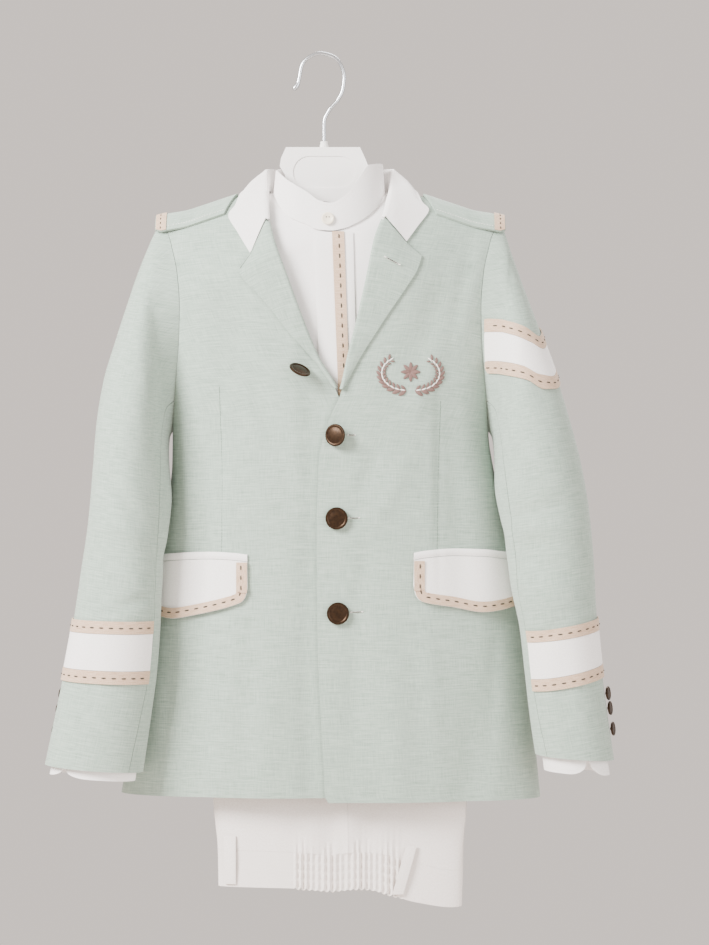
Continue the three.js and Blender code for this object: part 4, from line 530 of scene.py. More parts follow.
def sleeve_point(rows, sign, ring, angle, inset=0.0, folds=None):
    """Point on a sleeve: an oval ring, blended into the armhole over the first ring."""
    ring, angle = np.broadcast_arrays(np.asarray(ring, float), np.asarray(angle, float))
    ring_at = reader(rows, "ring")

    def form(place):
        row = ring_at(place)
        wide_x, wide_z = (row.outX - row.inX) / 2, (row.outZ - row.inZ) / 2
        reach = np.cos(angle) * (1 - inset / np.hypot(wide_x, wide_z))
        x = sign * ((row.outX + row.inX) / 2 + wide_x * reach)
        y = row.midY - (row.deep - inset) * np.sin(angle)
        return np.stack([x, y, (row.outZ + row.inZ) / 2 + wide_z * reach], -1)

    point = form(ring)
    near = np.clip(1 - ring, 0, 1) ** 2
    shift = armhole_point(sign, angle, inset) - form(np.zeros_like(ring))
    point = point + shift * near[..., None]
    if folds is not None:
        row = ring_at(ring)
        middle = np.stack([sign * (row.outX + row.inX) / 2, row.midY, (row.outZ + row.inZ) / 2], -1)
        away = point - middle
        away = unit(away)
        bump = fold_height(folds, np.degrees(angle) % 360, ring) * ease(0, 1.2, ring)
        point = point + away * bump[..., None]
    return point


def sleeve_normal(rows, sign, ring, angle, folds=None):
    """Outward direction on a sleeve, from its own slopes."""
    low, high = np.clip(ring - 0.05, 0, LAST_RING), np.clip(ring + 0.05, 0, LAST_RING)
    along = sleeve_point(rows, sign, high, angle, 0, folds) - sleeve_point(rows, sign, low, angle, 0, folds)
    after = sleeve_point(rows, sign, ring, angle + 0.02, 0, folds)
    across = after - sleeve_point(rows, sign, ring, angle - 0.02, 0, folds)
    normal = np.cross(across, along) * sign
    return unit(normal)


def ring_at_height(rows, sign, angle, height, folds):
    """Ring at which the sleeve has a height, for every angle: the one nearest in a fine count."""
    rings = np.linspace(0, LAST_RING, 521)
    flat_angle, flat_height = np.ravel(angle), np.ravel(height)
    z = sleeve_point(rows, sign, rings[:, None], flat_angle[None, :], 0, folds)[:, :, 2]
    above = z[:-1] - flat_height
    below = z[1:] - flat_height
    crossing = np.argmax((above >= 0) & (below <= 0), axis=0)
    picked = np.arange(len(flat_angle))
    found = (above[crossing, picked] >= 0) & (below[crossing, picked] <= 0)
    part = above[crossing, picked] / np.maximum(above[crossing, picked] - below[crossing, picked], 1e-9)
    ring = np.where(found, rings[crossing] + part * (rings[1] - rings[0]), 0.0)
    return ring.reshape(np.shape(height))


# Meshes from grids


def grid_normals(points, outward):
    """Directions square to a grid of points, turned to the same side as a guide."""
    along = np.gradient(points, axis=0)
    across = np.gradient(points, axis=1)
    normal = np.cross(across, along)
    normal /= np.maximum(np.linalg.norm(normal, axis=-1, keepdims=True), 1e-9)
    flip = np.sum(normal * outward) < 0
    return -normal if flip else normal


def lengths(points):
    """Distances in millimetres along rows and along columns, from the first point."""
    across = np.linalg.norm(np.diff(points, axis=1), axis=-1)
    along = np.linalg.norm(np.diff(points, axis=0), axis=-1)
    u = np.concatenate([np.zeros((len(points), 1)), np.cumsum(across, 1)], 1)
    v = np.concatenate([np.zeros((1, points.shape[1])), np.cumsum(along, 0)], 0)
    return u, v


def tube_faces(index):
    """Faces between neighbouring rings, where the last axis of the numbers goes round."""
    after = np.roll(index, -1, axis=-1)
    corners = (index[..., :-1, :], after[..., :-1, :], after[..., 1:, :], index[..., 1:, :])
    return np.stack(corners, -1).reshape(-1, 4)


def mesh_object(name, vertices, faces, uv, material, smooth=40.0):
    """Mesh object in metres from vertices in millimetres, about the garment's own middle."""
    mesh = bpy.data.meshes.new(name)
    placed = (np.asarray(vertices) + [AXIS_X, 0, 0]) * MM
    mesh.from_pydata(placed, [], faces)
    mesh.validate()
    layer = mesh.uv_layers.new(name="cloth")
    corners = np.empty(len(mesh.loops), int)
    mesh.loops.foreach_get("vertex_index", corners)
    layer.data.foreach_set("uv", (np.asarray(uv)[corners] * 0.01).ravel())
    mesh.polygons.foreach_set("use_smooth", np.ones(len(mesh.polygons), bool))
    mesh.set_sharp_from_angle(angle=math.radians(smooth))
    mesh.materials.append(material)
    mesh.update()
    piece = bpy.data.objects.new(name, mesh)
    bpy.context.scene.collection.objects.link(piece)
    return piece


def cloth(name, points, outward, thickness, material, node, closed=False, normal=None,
          weave=None):
    """Cloth wall: the grid is its outer face and the wall goes inwards.

    The two faces are joined round the rim, and the flat cut is worked out from the grid:
    the distances along its rows and its columns, unless a weave is given.
    """
    normal = grid_normals(points, outward) if normal is None else normal
    rows, columns = points.shape[:2]
    u, v = lengths(points)
    used = columns - 1 if closed else columns
    outer = points[:, :used].reshape(-1, 3)
    inner = (points - normal * thickness)[:, :used].reshape(-1, 3)
    index = np.arange(rows * used).reshape(rows, used)
    ring = np.concatenate([index, index[:, :1]], 1) if closed else index
    a, b, c, d = ring[:-1, :-1], ring[:-1, 1:], ring[1:, 1:], ring[1:, :-1]
    count = rows * used
    quads = np.stack([a, b, c, d], -1).reshape(-1, 4)
    faces = [quads, quads[:, ::-1] + count]
    for line, back in ((ring[0], True), (ring[-1], False)):
        rim = np.stack([line[:-1], line[1:], line[1:] + count, line[:-1] + count], -1)
        faces.append(rim[:, ::-1] if back else rim)
    if not closed:
        for line, back in ((ring[:, 0], False), (ring[:, -1], True)):
            rim = np.stack([line[:-1], line[1:], line[1:] + count, line[:-1] + count], -1)
            faces.append(rim[:, ::-1] if back else rim)
    faces = np.concatenate(faces)
    first = np.cross(outer[quads[:, 1]] - outer[quads[:, 0]], outer[quads[:, 3]] - outer[quads[:, 0]])
    if np.sum(first * normal[:-1, : used if closed else used - 1].reshape(-1, 3)) < 0:
        faces = faces[:, ::-1]
    vertices = np.concatenate([outer, inner])
    thread_u, thread_v = (u, v) if weave is None else weave
    flat_uv = np.stack([thread_u[:, :used].ravel(), thread_v[:, :used].ravel()], -1)
    piece = mesh_object(name, vertices, faces, np.concatenate([flat_uv, flat_uv]), material)
    finish(piece, node)
    return piece


def finish(piece, node):
    """Joins a piece to the frame in place of its solid."""
    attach(piece, "root")
    if node:
        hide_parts(*([node] if isinstance(node, str) else node))


def threads(name, path, normal, length, pitch, radius, material, lift=0.25, start=0.0):
    """Running stitches: short rounded threads laid along a path, one every pitch."""
    path, normal = np.asarray(path, float), np.asarray(normal, float)
    run = np.concatenate([[0], np.cumsum(np.linalg.norm(np.diff(path, axis=0), axis=1))])
    begins = np.arange(pitch * 0.3 + start, run[-1] - length, pitch)
    stations = np.array([0.0, 0.12, 0.35, 0.65, 0.88, 1.0])
    thick = np.array([0.35, 0.85, 1.0, 1.0, 0.85, 0.35]) * radius
    sides = 8
    turn = np.arange(sides) * 2 * math.pi / sides
    at = begins[:, None] + stations[None, :] * length
    place = np.stack([np.interp(at, run, path[:, i]) for i in range(3)], -1)
    up = np.stack([np.interp(at, run, normal[:, i]) for i in range(3)], -1)
    up = unit(up)
    ahead = np.gradient(place, axis=1)
    ahead = unit(ahead)
    across = np.cross(up, ahead)
    ring = across[:, :, None] * np.cos(turn)[:, None] + up[:, :, None] * 0.7 * np.sin(turn)[:, None]
    centre = place + up * lift * np.sin(math.pi * stations)[None, :, None]
    vertices = centre[:, :, None] + ring * thick[None, :, None, None]
    count = len(begins)
    index = np.arange(count * 6 * sides).reshape(count, 6, sides)
    faces = tube_faces(index)
    caps = [tuple(row) for row in index[:, 0, ::-1]] + [tuple(row) for row in index[:, -1]]
    uv = np.zeros((count * 6 * sides, 2))
    piece = mesh_object(name, vertices.reshape(-1, 3), [tuple(f) for f in faces] + caps, uv, material, 80)
    finish(piece, None)
    return piece


def lathe(name, profile, centre, facing, material, node, segments=48, smooth=32.0):
    """Turned piece: a profile of radius and height about an axis along a direction."""
    profile = np.asarray(profile, float)
    facing = unit(np.asarray(facing, float))
    guide = np.array([0.0, 0.0, 1.0]) if abs(facing[2]) < 0.9 else np.array([1.0, 0.0, 0.0])
    side = np.cross(guide, facing)
    side = unit(side)
    up = np.cross(facing, side)
    turn = np.arange(segments) * 2 * math.pi / segments
    spoke = np.cos(turn)[:, None] * side + np.sin(turn)[:, None] * up
    reach, height = profile[:, 0, None, None], profile[:, 1, None, None]
    points = reach * spoke[None] + height * facing + np.asarray(centre)
    index = np.arange(len(profile) * segments).reshape(len(profile), segments)
    faces = tube_faces(index)
    caps = [tuple(index[0, ::-1]), tuple(index[-1])]
    uv = np.stack([np.tile(turn * 10, len(profile)), np.repeat(profile[:, 0], segments)], -1)
    flat = points.reshape(-1, 3)
    piece = mesh_object(name, flat, [tuple(f) for f in faces] + caps, uv, material, smooth)
    finish(piece, node)
    return piece


# Materials


def linear(text):
    """Linear colour from an sRGB hex text."""
    parts = [int(text[i:i + 2], 16) / 255 for i in (1, 3, 5)]
    return tuple(p / 12.92 if p <= 0.04045 else ((p + 0.055) / 1.055) ** 2.4 for p in parts) + (1.0,)


def add_node(tree, kind, settings=None, **sockets):
    """Adds a shader node, sets its settings, and fills or links its sockets by name or number."""
    node = tree.nodes.new(kind)
    for key, value in (settings or {}).items():
        setattr(node, key, value)
    for key, value in sockets.items():
        socket = node.inputs[int(key[1:])] if key[1:].isdigit() else node.inputs[key.replace("_", " ")]
        if isinstance(value, bpy.types.NodeSocket):
            tree.links.new(value, socket)
        else:
            socket.default_value = value
    return node


def cloth_material(name, dark, light, streaks, bump, rough, sheen=0.25, cell=1.0):
    """Woven cloth: threads both ways as stretched noise over the piece's own millimetres.

    streaks gives (along, across, part) for each layer, in waves for each millimetre.
    """
    material = bpy.data.materials.new(name)
    material.use_nodes = True
    tree = material.node_tree
    shader = tree.nodes["Principled BSDF"]
    place = add_node(tree, "ShaderNodeUVMap", {"uv_map": "cloth"})
    total = None
    for along, across, part in streaks:
        scaled = add_node(
            tree, "ShaderNodeMapping", None,
            Vector=place.outputs["UV"], Scale=(100 * along * cell, 100 * across * cell, 1),
        )
        noise = add_node(
            tree, "ShaderNodeTexNoise", None,
            Vector=scaled.outputs["Vector"], Scale=1.0, Detail=3.0, Roughness=0.6,
        )
        level = add_node(
            tree, "ShaderNodeMath", {"operation": "MULTIPLY"}, i0=noise.outputs["Fac"], i1=part
        )
        if total is None:
            total = level.outputs[0]
        else:
            sum_node = add_node(
                tree, "ShaderNodeMath", {"operation": "ADD"}, i0=total, i1=level.outputs[0]
            )
            total = sum_node.outputs[0]
    spread = add_node(
        tree, "ShaderNodeMapRange", None, Value=total, From_Min=0.34, From_Max=0.66, To_Min=0.0, To_Max=1.0
    )
    colour = add_node(tree, "ShaderNodeMix", {"data_type": "RGBA"}, Factor=spread.outputs["Result"])
    colour.inputs[6].default_value = linear(dark)
    colour.inputs[7].default_value = linear(light)
    relief = add_node(tree, "ShaderNodeBump", None, Strength=bump, Distance=0.0004, Height=total)
    tree.links.new(colour.outputs[2], shader.inputs["Base Color"])
    tree.links.new(relief.outputs["Normal"], shader.inputs["Normal"])
    shader.inputs["Roughness"].default_value = rough
    shader.inputs["Sheen Weight"].default_value = sheen
    shader.inputs["Sheen Roughness"].default_value = 0.5
    shader.inputs["Specular IOR Level"].default_value = 0.25
    return material


def plain_material(name, colour, rough, metal=0.0, mottle=None):
    """Smooth material, with a second colour in soft patches where one is given."""
    material = bpy.data.materials.new(name)
    material.use_nodes = True
    tree = material.node_tree
    shader = tree.nodes["Principled BSDF"]
    shader.inputs["Base Color"].default_value = linear(colour)
    shader.inputs["Roughness"].default_value = rough
    shader.inputs["Metallic"].default_value = metal
    if mottle:
        place = add_node(tree, "ShaderNodeTexCoord")
        noise = add_node(
            tree, "ShaderNodeTexNoise", None, Vector=place.outputs["Object"], Scale=420.0, Detail=4.0
        )
        blend = add_node(tree, "ShaderNodeMix", {"data_type": "RGBA"}, Factor=noise.outputs["Fac"])
        blend.inputs[6].default_value = linear(colour)
        blend.inputs[7].default_value = linear(mottle)
        tree.links.new(blend.outputs[2], shader.inputs["Base Color"])
    return material


def materials():
    """Every material, made once and then found again by name."""
    kept = bpy.data.materials.get("linen_pale_green_grey")
    if kept:
        return SimpleNamespace(**{m["role"]: m for m in bpy.data.materials if "role" in m})
    linen_threads = ((0.04, 0.8, 0.42), (0.14, 1.6, 0.26), (1.2, 0.06, 0.32))
    cotton_threads = ((0.5, 0.5, 0.4), (1.8, 1.2, 0.6))
    ribbon_threads = ((0.1, 1.9, 0.6), (0.9, 0.9, 0.4))
    made = {
        # Jacket linen: level slubs a few centimetres long over fine upright threads
        "linen": cloth_material("linen_pale_green_grey", "#7f9084", "#b0bfb3", linen_threads, 0.8, 0.92),
        # White cotton of collar, bands and flaps
        "white": cloth_material("white_cotton", "#e6e1de", "#f7f4f2", cotton_threads, 0.3, 0.88),
        # Thin white shirt cotton
        "shirt": cloth_material("shirt_cotton", "#ebe7e5", "#f6f3f2", cotton_threads, 0.18, 0.85),
        # Beige ribbon with fine ribs across it
        "ribbon": cloth_material("beige_ribbon", "#ad8d72", "#d6bca4", ribbon_threads, 0.5, 0.7),
        # Trousers: warm white twill
        "trouser": cloth_material("trouser_twill", "#ddd3cd", "#f1ebe7", cotton_threads, 0.35, 0.9),
        # Dark running stitch on the ribbons; the same dark colour is also painted shade in the buttonhole
        # slits and the shirt button's holes
        "dark_thread": plain_material("dark_thread", "#33302a", 0.8),
        # White sewing thread
        "white_thread": plain_material("white_thread", "#efe9e4", 0.7),
        # Painted shade: darker linen colour for the dip along a stitched seam
        "seam": plain_material("linen_seam", "#66756a", 0.95),
        # Rosy grey embroidery thread
        "rosy_thread": plain_material("rosy_thread", "#624741", 0.6, 0.0, "#7b5d56"),
        # Antiqued metal buttons
        "bronze": plain_material("bronze_button", "#1a120d", 0.36, 0.8, "#453120"),
        # Cream shirt button
        "cream": plain_material("cream_button", "#f3e8d2", 0.28),
        # White moulded plastic of the hanger
        "plastic": plain_material("hanger_plastic", "#f0edea", 0.42),
        # Bright steel wire of the hook
        "wire": plain_material("hook_wire", "#c9ccd0", 0.28, 1.0),
        # Pale floor
        "stage": plain_material("pale_floor", "#e4dad2", 0.95),
    }
    for role, material in made.items():
        material["role"] = role
    return SimpleNamespace(**made)


def settings():
    """The settings shown in the panel."""
    return bpy.context.scene.communion_suit


def fine(count, least=4):
    """Grid count at the set density."""
    return max(least, int(round(count * settings().density)))


# Settings


class SuitSettings(bpy.types.PropertyGroup):
    """Sizes that apply to the whole suit."""

    density: bpy.props.FloatProperty(
        name="Density", description="How finely the cloth is divided", default=1.0, min=0.2, max=1.5
    )
    linen: bpy.props.FloatProperty(
        name="Linen", description="Thickness of the jacket cloth in millimetres", default=1.5, min=0.5, max=3
    )
    stitch: bpy.props.FloatProperty(
        name="Stitch", description="Pitch of the running stitch in millimetres", default=9.0, min=3, max=20
    )
    light: bpy.props.FloatProperty(
        name="Light", description="Brightness of the studio lights", default=1.0, min=0.1, max=4
    )


SIDES = (
    ("viewer_left", LEFT, SLEEVE_LEFT, CREASES_LEFT),
    ("viewer_right", RIGHT, SLEEVE_RIGHT, CREASES_RIGHT),
)


class BuildBody(bpy.types.Operator):
    """Jacket fronts and back.

    Each is a grid from its own edge or the middle out to the side seam. Its depth is that of a rounded
    body section at that height, and the soft humps and troughs of the creases are added to it.
    """

    bl_idname = "suit.body"
    bl_label = "Jacket body"

    def execute(self, context):
        kit = materials()
        thick = settings().linen
        across, hem_rows, arm_rows = fine(70), fine(80), fine(70)
        for word, sign, hem, edge_at in (
            ("viewer_left", LEFT, -676, edge_left_at), ("viewer_right", RIGHT, -680, edge_right_at)
        ):
            def bump(x, z, sign=sign):
                return front_y(sign, x, z) - depth(x, z, FRONT) + SEAM / 2

            grid = body_grid(sign, FRONT, front_inner(edge_at), hem, across, hem_rows, arm_rows, 0, bump)
            name = f"jacket_front_{word}"
            cloth(f"cloth_{name}", grid, (0, -1, 0), thick, kit.linen, name)
        # Darts drawn as thin lines of painted shade in the darker seam colour
        for word, sign, line in (
            ("viewer_left", LEFT, ((-100, -304), (-97.5, -380), (-98, -455))),
            ("viewer_right", RIGHT, ((99.8, -317), (97.4, -389), (96.4, -455))),
        ):
            t = np.linspace(0, 1, 60)
            x, z = (np.interp(t, [0, 0.5, 1], [spot[i] for spot in line]) for i in (0, 1))
            place, normal = on_front(sign, x, z)
            threads(f"dart_{word}", place, normal, 3.0, 3.05, 0.3, kit.seam, lift=0)
        grid = back_grid(-672, 11, across, hem_rows, arm_rows, 0, FOLDS_BACK)
        cloth("cloth_jacket_back", grid, (0, 1, 0), thick, kit.linen, "jacket_back")
        return {"FINISHED"}


class BuildSleeves(bpy.types.Operator):
    """Upper and under sleeves with their bands, chevron and buttons.

    A sleeve is a tube of rings that turn from the armhole loop to the level cuff. A seam angle in front
    and one behind part each ring into the upper and the under piece, and bands lie on the same rings.
    """

    bl_idname = "suit.sleeves"
    bl_label = "Sleeves"

    def band(self, name, rows, sign, folds, angle, ring, lift, thick, material, slot):
        """Strip laid on a sleeve at given angles and rings."""
        normal = sleeve_normal(rows, sign, ring, angle, folds)
        points = sleeve_point(rows, sign, ring, angle, 0, folds) + normal * (lift + thick)
        cloth(f"cloth_{name}", points, normal, thick, material, name, normal=normal)
        return points, normal

    def execute(self, context):
        kit = materials()
        thick = settings().linen
        pitch = settings().stitch
        rings = np.linspace(0.012, LAST_RING, fine(170))[:, None]
        for word, sign, rows, folds in SIDES:
            seams = seams_at(rings)
            for part, start, stop in (
                ("upper", seams.back + 0.35, seams.front - 0.35),
                ("under", seams.front + 0.35, 360 + seams.back - 0.35),
            ):
                angle = np.radians(mix(start, stop, np.linspace(0, 1, fine(60))))
                points = sleeve_point(rows, sign, rings, angle, 0, folds)
                normal = sleeve_normal(rows, sign, rings + 0 * angle, angle, folds)
                name = f"jacket_{part}_sleeve_{word}"
                around, _ = lengths(points)
                across = around - around[:, around.shape[1] // 2, None]
                down = 0.16 * sign * points[..., 0] - points[..., 2]
                cloth(f"cloth_{name}", points, normal, thick, kit.linen, name,
                      normal=normal, weave=(across, down))
            for strip, top_out, top_in, low_out, low_in in CUFF_BANDS[word]:
                column = np.linspace(0.06, 7.94, fine(70))[None, :]
                turned = (1 - np.cos(math.pi * column / 8)) / 2
                down = np.linspace(0, 1, fine(16))[:, None]
                height = mix(mix(top_out, top_in, turned), mix(low_out, low_in, turned), down)
                seams = seams_at(11.0)
                angle = np.radians(mix(seams.back, seams.front, column / 8)) + 0 * height
                ring = ring_at_height(rows, sign, angle, height, folds)
                white = strip == "white"
                lift = 0.5 if white else 0.9
                points, normal = self.band(
                    f"cuff_band_{strip}_{word}", rows, sign, folds, angle, ring, lift, 0.9,
                    kit.white if white else kit.ribbon, "white_cotton" if white else "ribbon",
                )
                if not white:
                    middle = len(points) // 2
                    threads(f"stitches_{strip}_{word}", points[middle], normal[middle], 4.2, pitch, 0.62,
                            kit.dark_thread)
        self.chevron(kit, pitch)
        self.buttons(kit)
        return {"FINISHED"}

    def chevron(self, kit, pitch):
        """Chevron of a white band between two ribbons, running into the armhole seam."""
        word, sign, rows, folds = SIDES[1]
        for strip, start, stop, end_top, end_low in CHEVRON_STRIPS:
            down = np.linspace(0, 1, fine(16))[:, None]
            column = mix(0.1, mix(end_top, end_low, down), np.linspace(0, 1, fine(90))[None, :])
            edge = chevron_at(column)
            height = mix(edge.top, edge.low, mix(start, stop, down))
            ring = np.full(column.shape, 3.0)
            for _ in range(3):
                seams = seams_at(ring)
                angle = np.radians(mix(seams.back, seams.front, column / 8))
                ring = ring_at_height(rows, sign, angle, height, folds)
            ring = np.maximum(ring, 0.1)
            white = strip == "white"
            points, normal = self.band(
                f"chevron_{strip}", rows, sign, folds, angle, ring, 0.5 if white else 0.9, 0.9,
                kit.white if white else kit.ribbon, "white_cotton" if white else "ribbon",
            )
            if not white:
                middle = len(points) // 2
                threads(f"stitches_chevron_{strip}", points[middle], normal[middle], 4.2, pitch, 0.62,
                        kit.dark_thread)

    def buttons(self, kit):
        """Three small buttons on the outer back edge of each sleeve."""
        profile = [(0.01, 0), (1.4, 0), (1.4, 1.4), (5.6, 1.5), (6.4, 2.3), (6.2, 3.3), (5.2, 3.6),
                   (4.6, 3.1), (2.2, 3.3), (0.01, 3.5)]
        for word, sign, rows, folds in SIDES:
            for i, (height, angle) in enumerate(((-581.5, 2), (-595, 1), (-614.5, 0))):
                ring = 11 + (height + 556) / -44
                turn = math.radians(angle if sign == RIGHT else angle - 26)
                ahead = 0.34 if sign == RIGHT else 0
                facing = np.array([sign * math.cos(turn), -math.sin(turn) - ahead, 0.1])
                facing = unit(facing)
                centre = sleeve_point(rows, sign, ring, turn) + facing * (0.9 if sign == RIGHT else 0.2)
                name = f"sleeve_button_{i + 1}_{word}"
                lathe(f"turned_{name}", profile, centre, facing, kit.bronze, name, 32)


class BuildCollar(bpy.types.Operator):
    """Lapels and the white upper collar.

    A row goes round the roll of the front edge as part of a circle. Then it lies on the front's own
    surface out to the edge of the lapel, lifted most at the roll.
    """

    bl_idname = "suit.collar"
    bl_label = "Lapels and collar"

    def turned(self, sign, roll_z, out_x, out_z, columns):
        """Rows that go round the roll of a front and then out over it."""
        edge_at = edge_left_at if sign == LEFT else edge_right_at
        roll_x = edge_at(roll_z).x
        step = 1.0
        slope = (edge_at(roll_z + step).x - edge_at(roll_z - step).x) / (2 * step)
        away = np.stack([np.ones_like(slope), np.zeros_like(slope), -slope], -1) * -sign
        away = unit(away)
        roll = np.stack([roll_x, front_y(sign, roll_x, roll_z), roll_z], -1)
        turn = np.radians(np.linspace(-50, 84, columns[0]))
        round_part = roll[:, None] + away[:, None] * (2.3 * np.cos(turn))[None, :, None]
        round_part[:, :, 1] += -1.2 - 3.0 * np.sin(turn)[None]
        f = np.linspace(0.03, 1, columns[1])[None, :]
        x, z = mix(roll_x[:, None], out_x[:, None], f), mix(roll_z[:, None], out_z[:, None], f)
        points, normal = on_front(sign, x, z)
        lift = 2.1 + 2.1 * (1 - f) ** 1.5 + 0.5 * np.sin(math.pi * f)
        return np.concatenate([round_part, points + normal * lift[..., None]], 1)

    def execute(self, context):
        kit = materials()
        columns = (fine(10), fine(36))
        for word, sign, rows in (("viewer_left", LEFT, LAPEL_LEFT), ("viewer_right", RIGHT, LAPEL_RIGHT)):
            corner = max(rows["row"]) - 2
            sharp = np.concatenate([
                np.linspace(0, corner, fine(70)), np.linspace(corner, corner + 2, fine(30))[1:]
            ])
            lines = {key: np.interp(sharp, rows["row"], rows[key]) for key in ("rollZ", "outX", "outZ")}
            curve = reader(rows, "row")(sharp)
            soft = sharp < corner
            out_x = np.where(soft, curve.outX, lines["outX"])
            out_z = np.where(soft, curve.outZ, lines["outZ"])
            points = self.turned(sign, lines["rollZ"], out_x, out_z, columns)
            name = f"lapel_{word}"
            cloth(f"cloth_{name}", points, (0, -1, 0), 1.3, kit.linen, name)
        self.upper(kit, columns)
        return {"FINISHED"}

    def upper(self, kit, columns):
        """The collar from one gorge round the neck to the other."""
        lines = []
        total = sum(columns)
        for i in range(len(COLLAR["kind"])):
            row = {key: COLLAR[key][i] for key in COLLAR}
            sign = LEFT if row["outX"] < 0 else RIGHT
            if row["kind"] == 0:
                one = [np.array([row[key]]) for key in ("foldZ", "outX", "outZ")]
                lines.append(self.turned(sign, *one, columns)[0])
                continue
            stand = np.array([row["standX"], row["standY"], row["standZ"] - 6])
            fold = np.array([row["foldX"], row["foldY"], row["foldZ"]])
            side = BACK if row["kind"] == 3 else FRONT
            off = {1: 4.0, 2: 0, 3: 2.6}[int(row["kind"])]
            y = float(depth(row["outX"], row["outZ"], side)) + side * off
            out = np.array([row["outX"], 0 if row["kind"] == 2 else y, row["outZ"]])
            if row["kind"] == 2:
                out[2] = float(ridge(row["outX"])) + 3.4
            outward = np.array([out[0] - fold[0], out[1] - fold[1], 0])
            outward = unit(outward)
            rise = np.linspace(0, 1, columns[0])[:, None]
            inside = mix(stand, fold, rise) - outward * 1.2 * np.sin(rise * math.pi)
            f = np.linspace(0, 1, columns[1] + 1)[1:, None]
            outside = mix(fold, out, f) + outward * 2.8 * np.sin(math.pi * np.minimum(1, f + 0.1))
            outside[:, 2] += 1.2 * (1 - f[:, 0]) ** 8
            lines.append(np.concatenate([inside, outside]))
        keys = np.arange(len(lines), dtype=float)
        flat = table("row " + " ".join(f"c{i}" for i in range(total * 3)),
                     *[(k, *line.ravel()) for k, line in zip(keys, lines)])
        spread = reader(flat, "row")(np.linspace(0, keys[-1], fine(150)))
        points = np.stack([getattr(spread, f"c{i}") for i in range(total * 3)], -1).reshape(-1, total, 3)
        cloth("cloth_jacket_collar", points, self.guide(points), 1.2, kit.white, "jacket_collar")

    def guide(self, points):
        """Rough outward directions: away from the neck and up on the fall of the collar."""
        out = np.zeros_like(points)
        out[:, points.shape[1] // 2:] = points[:, points.shape[1] // 2:] * [1, 1, 0] + [0, -20, 40]
        return out


class BuildPockets(bpy.types.Operator):
    """Welts, flaps and their stitched ribbons.

    All lie on the surface of the front, each lifted by what is under it, and a little more towards the
    side seam, where the front turns away.
    """

    bl_idname = "suit.pockets"
    bl_label = "Pockets"

    def execute(self, context):
        kit = materials()
        for word, sign, rows in (("viewer_left", LEFT, FLAP_LEFT), ("viewer_right", RIGHT, FLAP_RIGHT)):
            at = reader(rows, "x")
            first, last = rows["x"][0], rows["x"][-1]
            x = mix(first, last, np.linspace(0, 1, fine(90)) ** 1.7)
            row = at(x)
            down = np.linspace(0, 1, fine(26))[:, None]
            place, normal = on_front(sign, sign * x + 0 * down, mix(row.top, row.bottom, down))
            away = 2 * ease(112, 145, x)
            wave = 0.5 * np.sin(x / 13 + 1.1 * sign) * down
            lift = 2.1 + 1.1 * down ** 2 + away + wave
            base = [f"cloth_jacket_front_{word}"]
            points = place + normal * lift[..., None]
            cloth(f"cloth_pocket_flap_{word}", points, (0, -1, 0), 1.2, kit.white, f"pocket_flap_{word}")
            x = np.linspace(first, last, fine(50))
            down = np.linspace(1, 0, fine(10))[:, None]
            top = at(x).top + SEAM
            place, normal = on_front(sign, sign * x + 0 * down, top + 6.4 * down)
            lift = 1.5 + 0.7 * np.sin(math.pi * down) + 2 * ease(112, 145, x)
            cloth(f"cloth_pocket_welt_{word}", place + normal * lift[..., None], (0, -1, 0), 1.1, kit.white,
                  f"pocket_welt_{word}")
            self.ribbon(kit, word, sign, rows, at, base)
        return {"FINISHED"}

    def ribbon(self, kit, word, sign, rows, at, base):
        """Ribbon down the inner edge of the flap, round its corner and along the lower edge."""
        first, wide = rows["x"][0], 9.5
        inner_x = first + wide
        inner_z = float(at(inner_x).bottom) + wide
        top = rows["top"][0]
        outer = [(first, mix(top - 0.5, inner_z + 1, t)) for t in np.linspace(0, 1, fine(16))]
        inner = [(inner_x, z) for _, z in outer]
        for t in np.linspace(0, 1, fine(20)) ** 1.2:
            x = mix(first, rows["x"][3], t)
            outer.append((x, float(at(x).bottom) + 0.3))
            inner.append((inner_x + 0.4 + 2.2 * t, inner_z + 0.2 - 1.4 * t))
        for x in np.linspace(rows["x"][3], rows["x"][-1], fine(50))[1:]:
            outer.append((x, float(at(x).bottom) + 0.3))
            inner.append((max(x, inner_x + 2.6), float(at(x).bottom) + wide))
        outer, inner = np.array(outer), np.array(inner)
        part = np.linspace(0, 1, fine(10))[:, None, None]
        flat = mix(outer[None], inner[None], part)
        place, normal = on_front(sign, sign * flat[:, :, 0], flat[:, :, 1])
        bottom = ease(-470, -510, flat[:, :, 1])
        lift = 3.35 + 1.0 * bottom ** 2 + 2 * ease(112, 145, flat[:, :, 0])
        lift = lift + 0.5 * np.sin(flat[:, :, 0] / 13 + 1.1 * sign) * bottom
        points = place + normal * lift[..., None]
        cloth(f"cloth_pocket_ribbon_{word}", points, (0, -1, 0), 0.9, kit.ribbon, f"pocket_ribbon_{word}")
        middle = len(points) // 2
        threads(f"stitches_pocket_{word}", points[middle], normal[middle], 4.2, settings().stitch, 0.62,
                kit.dark_thread)


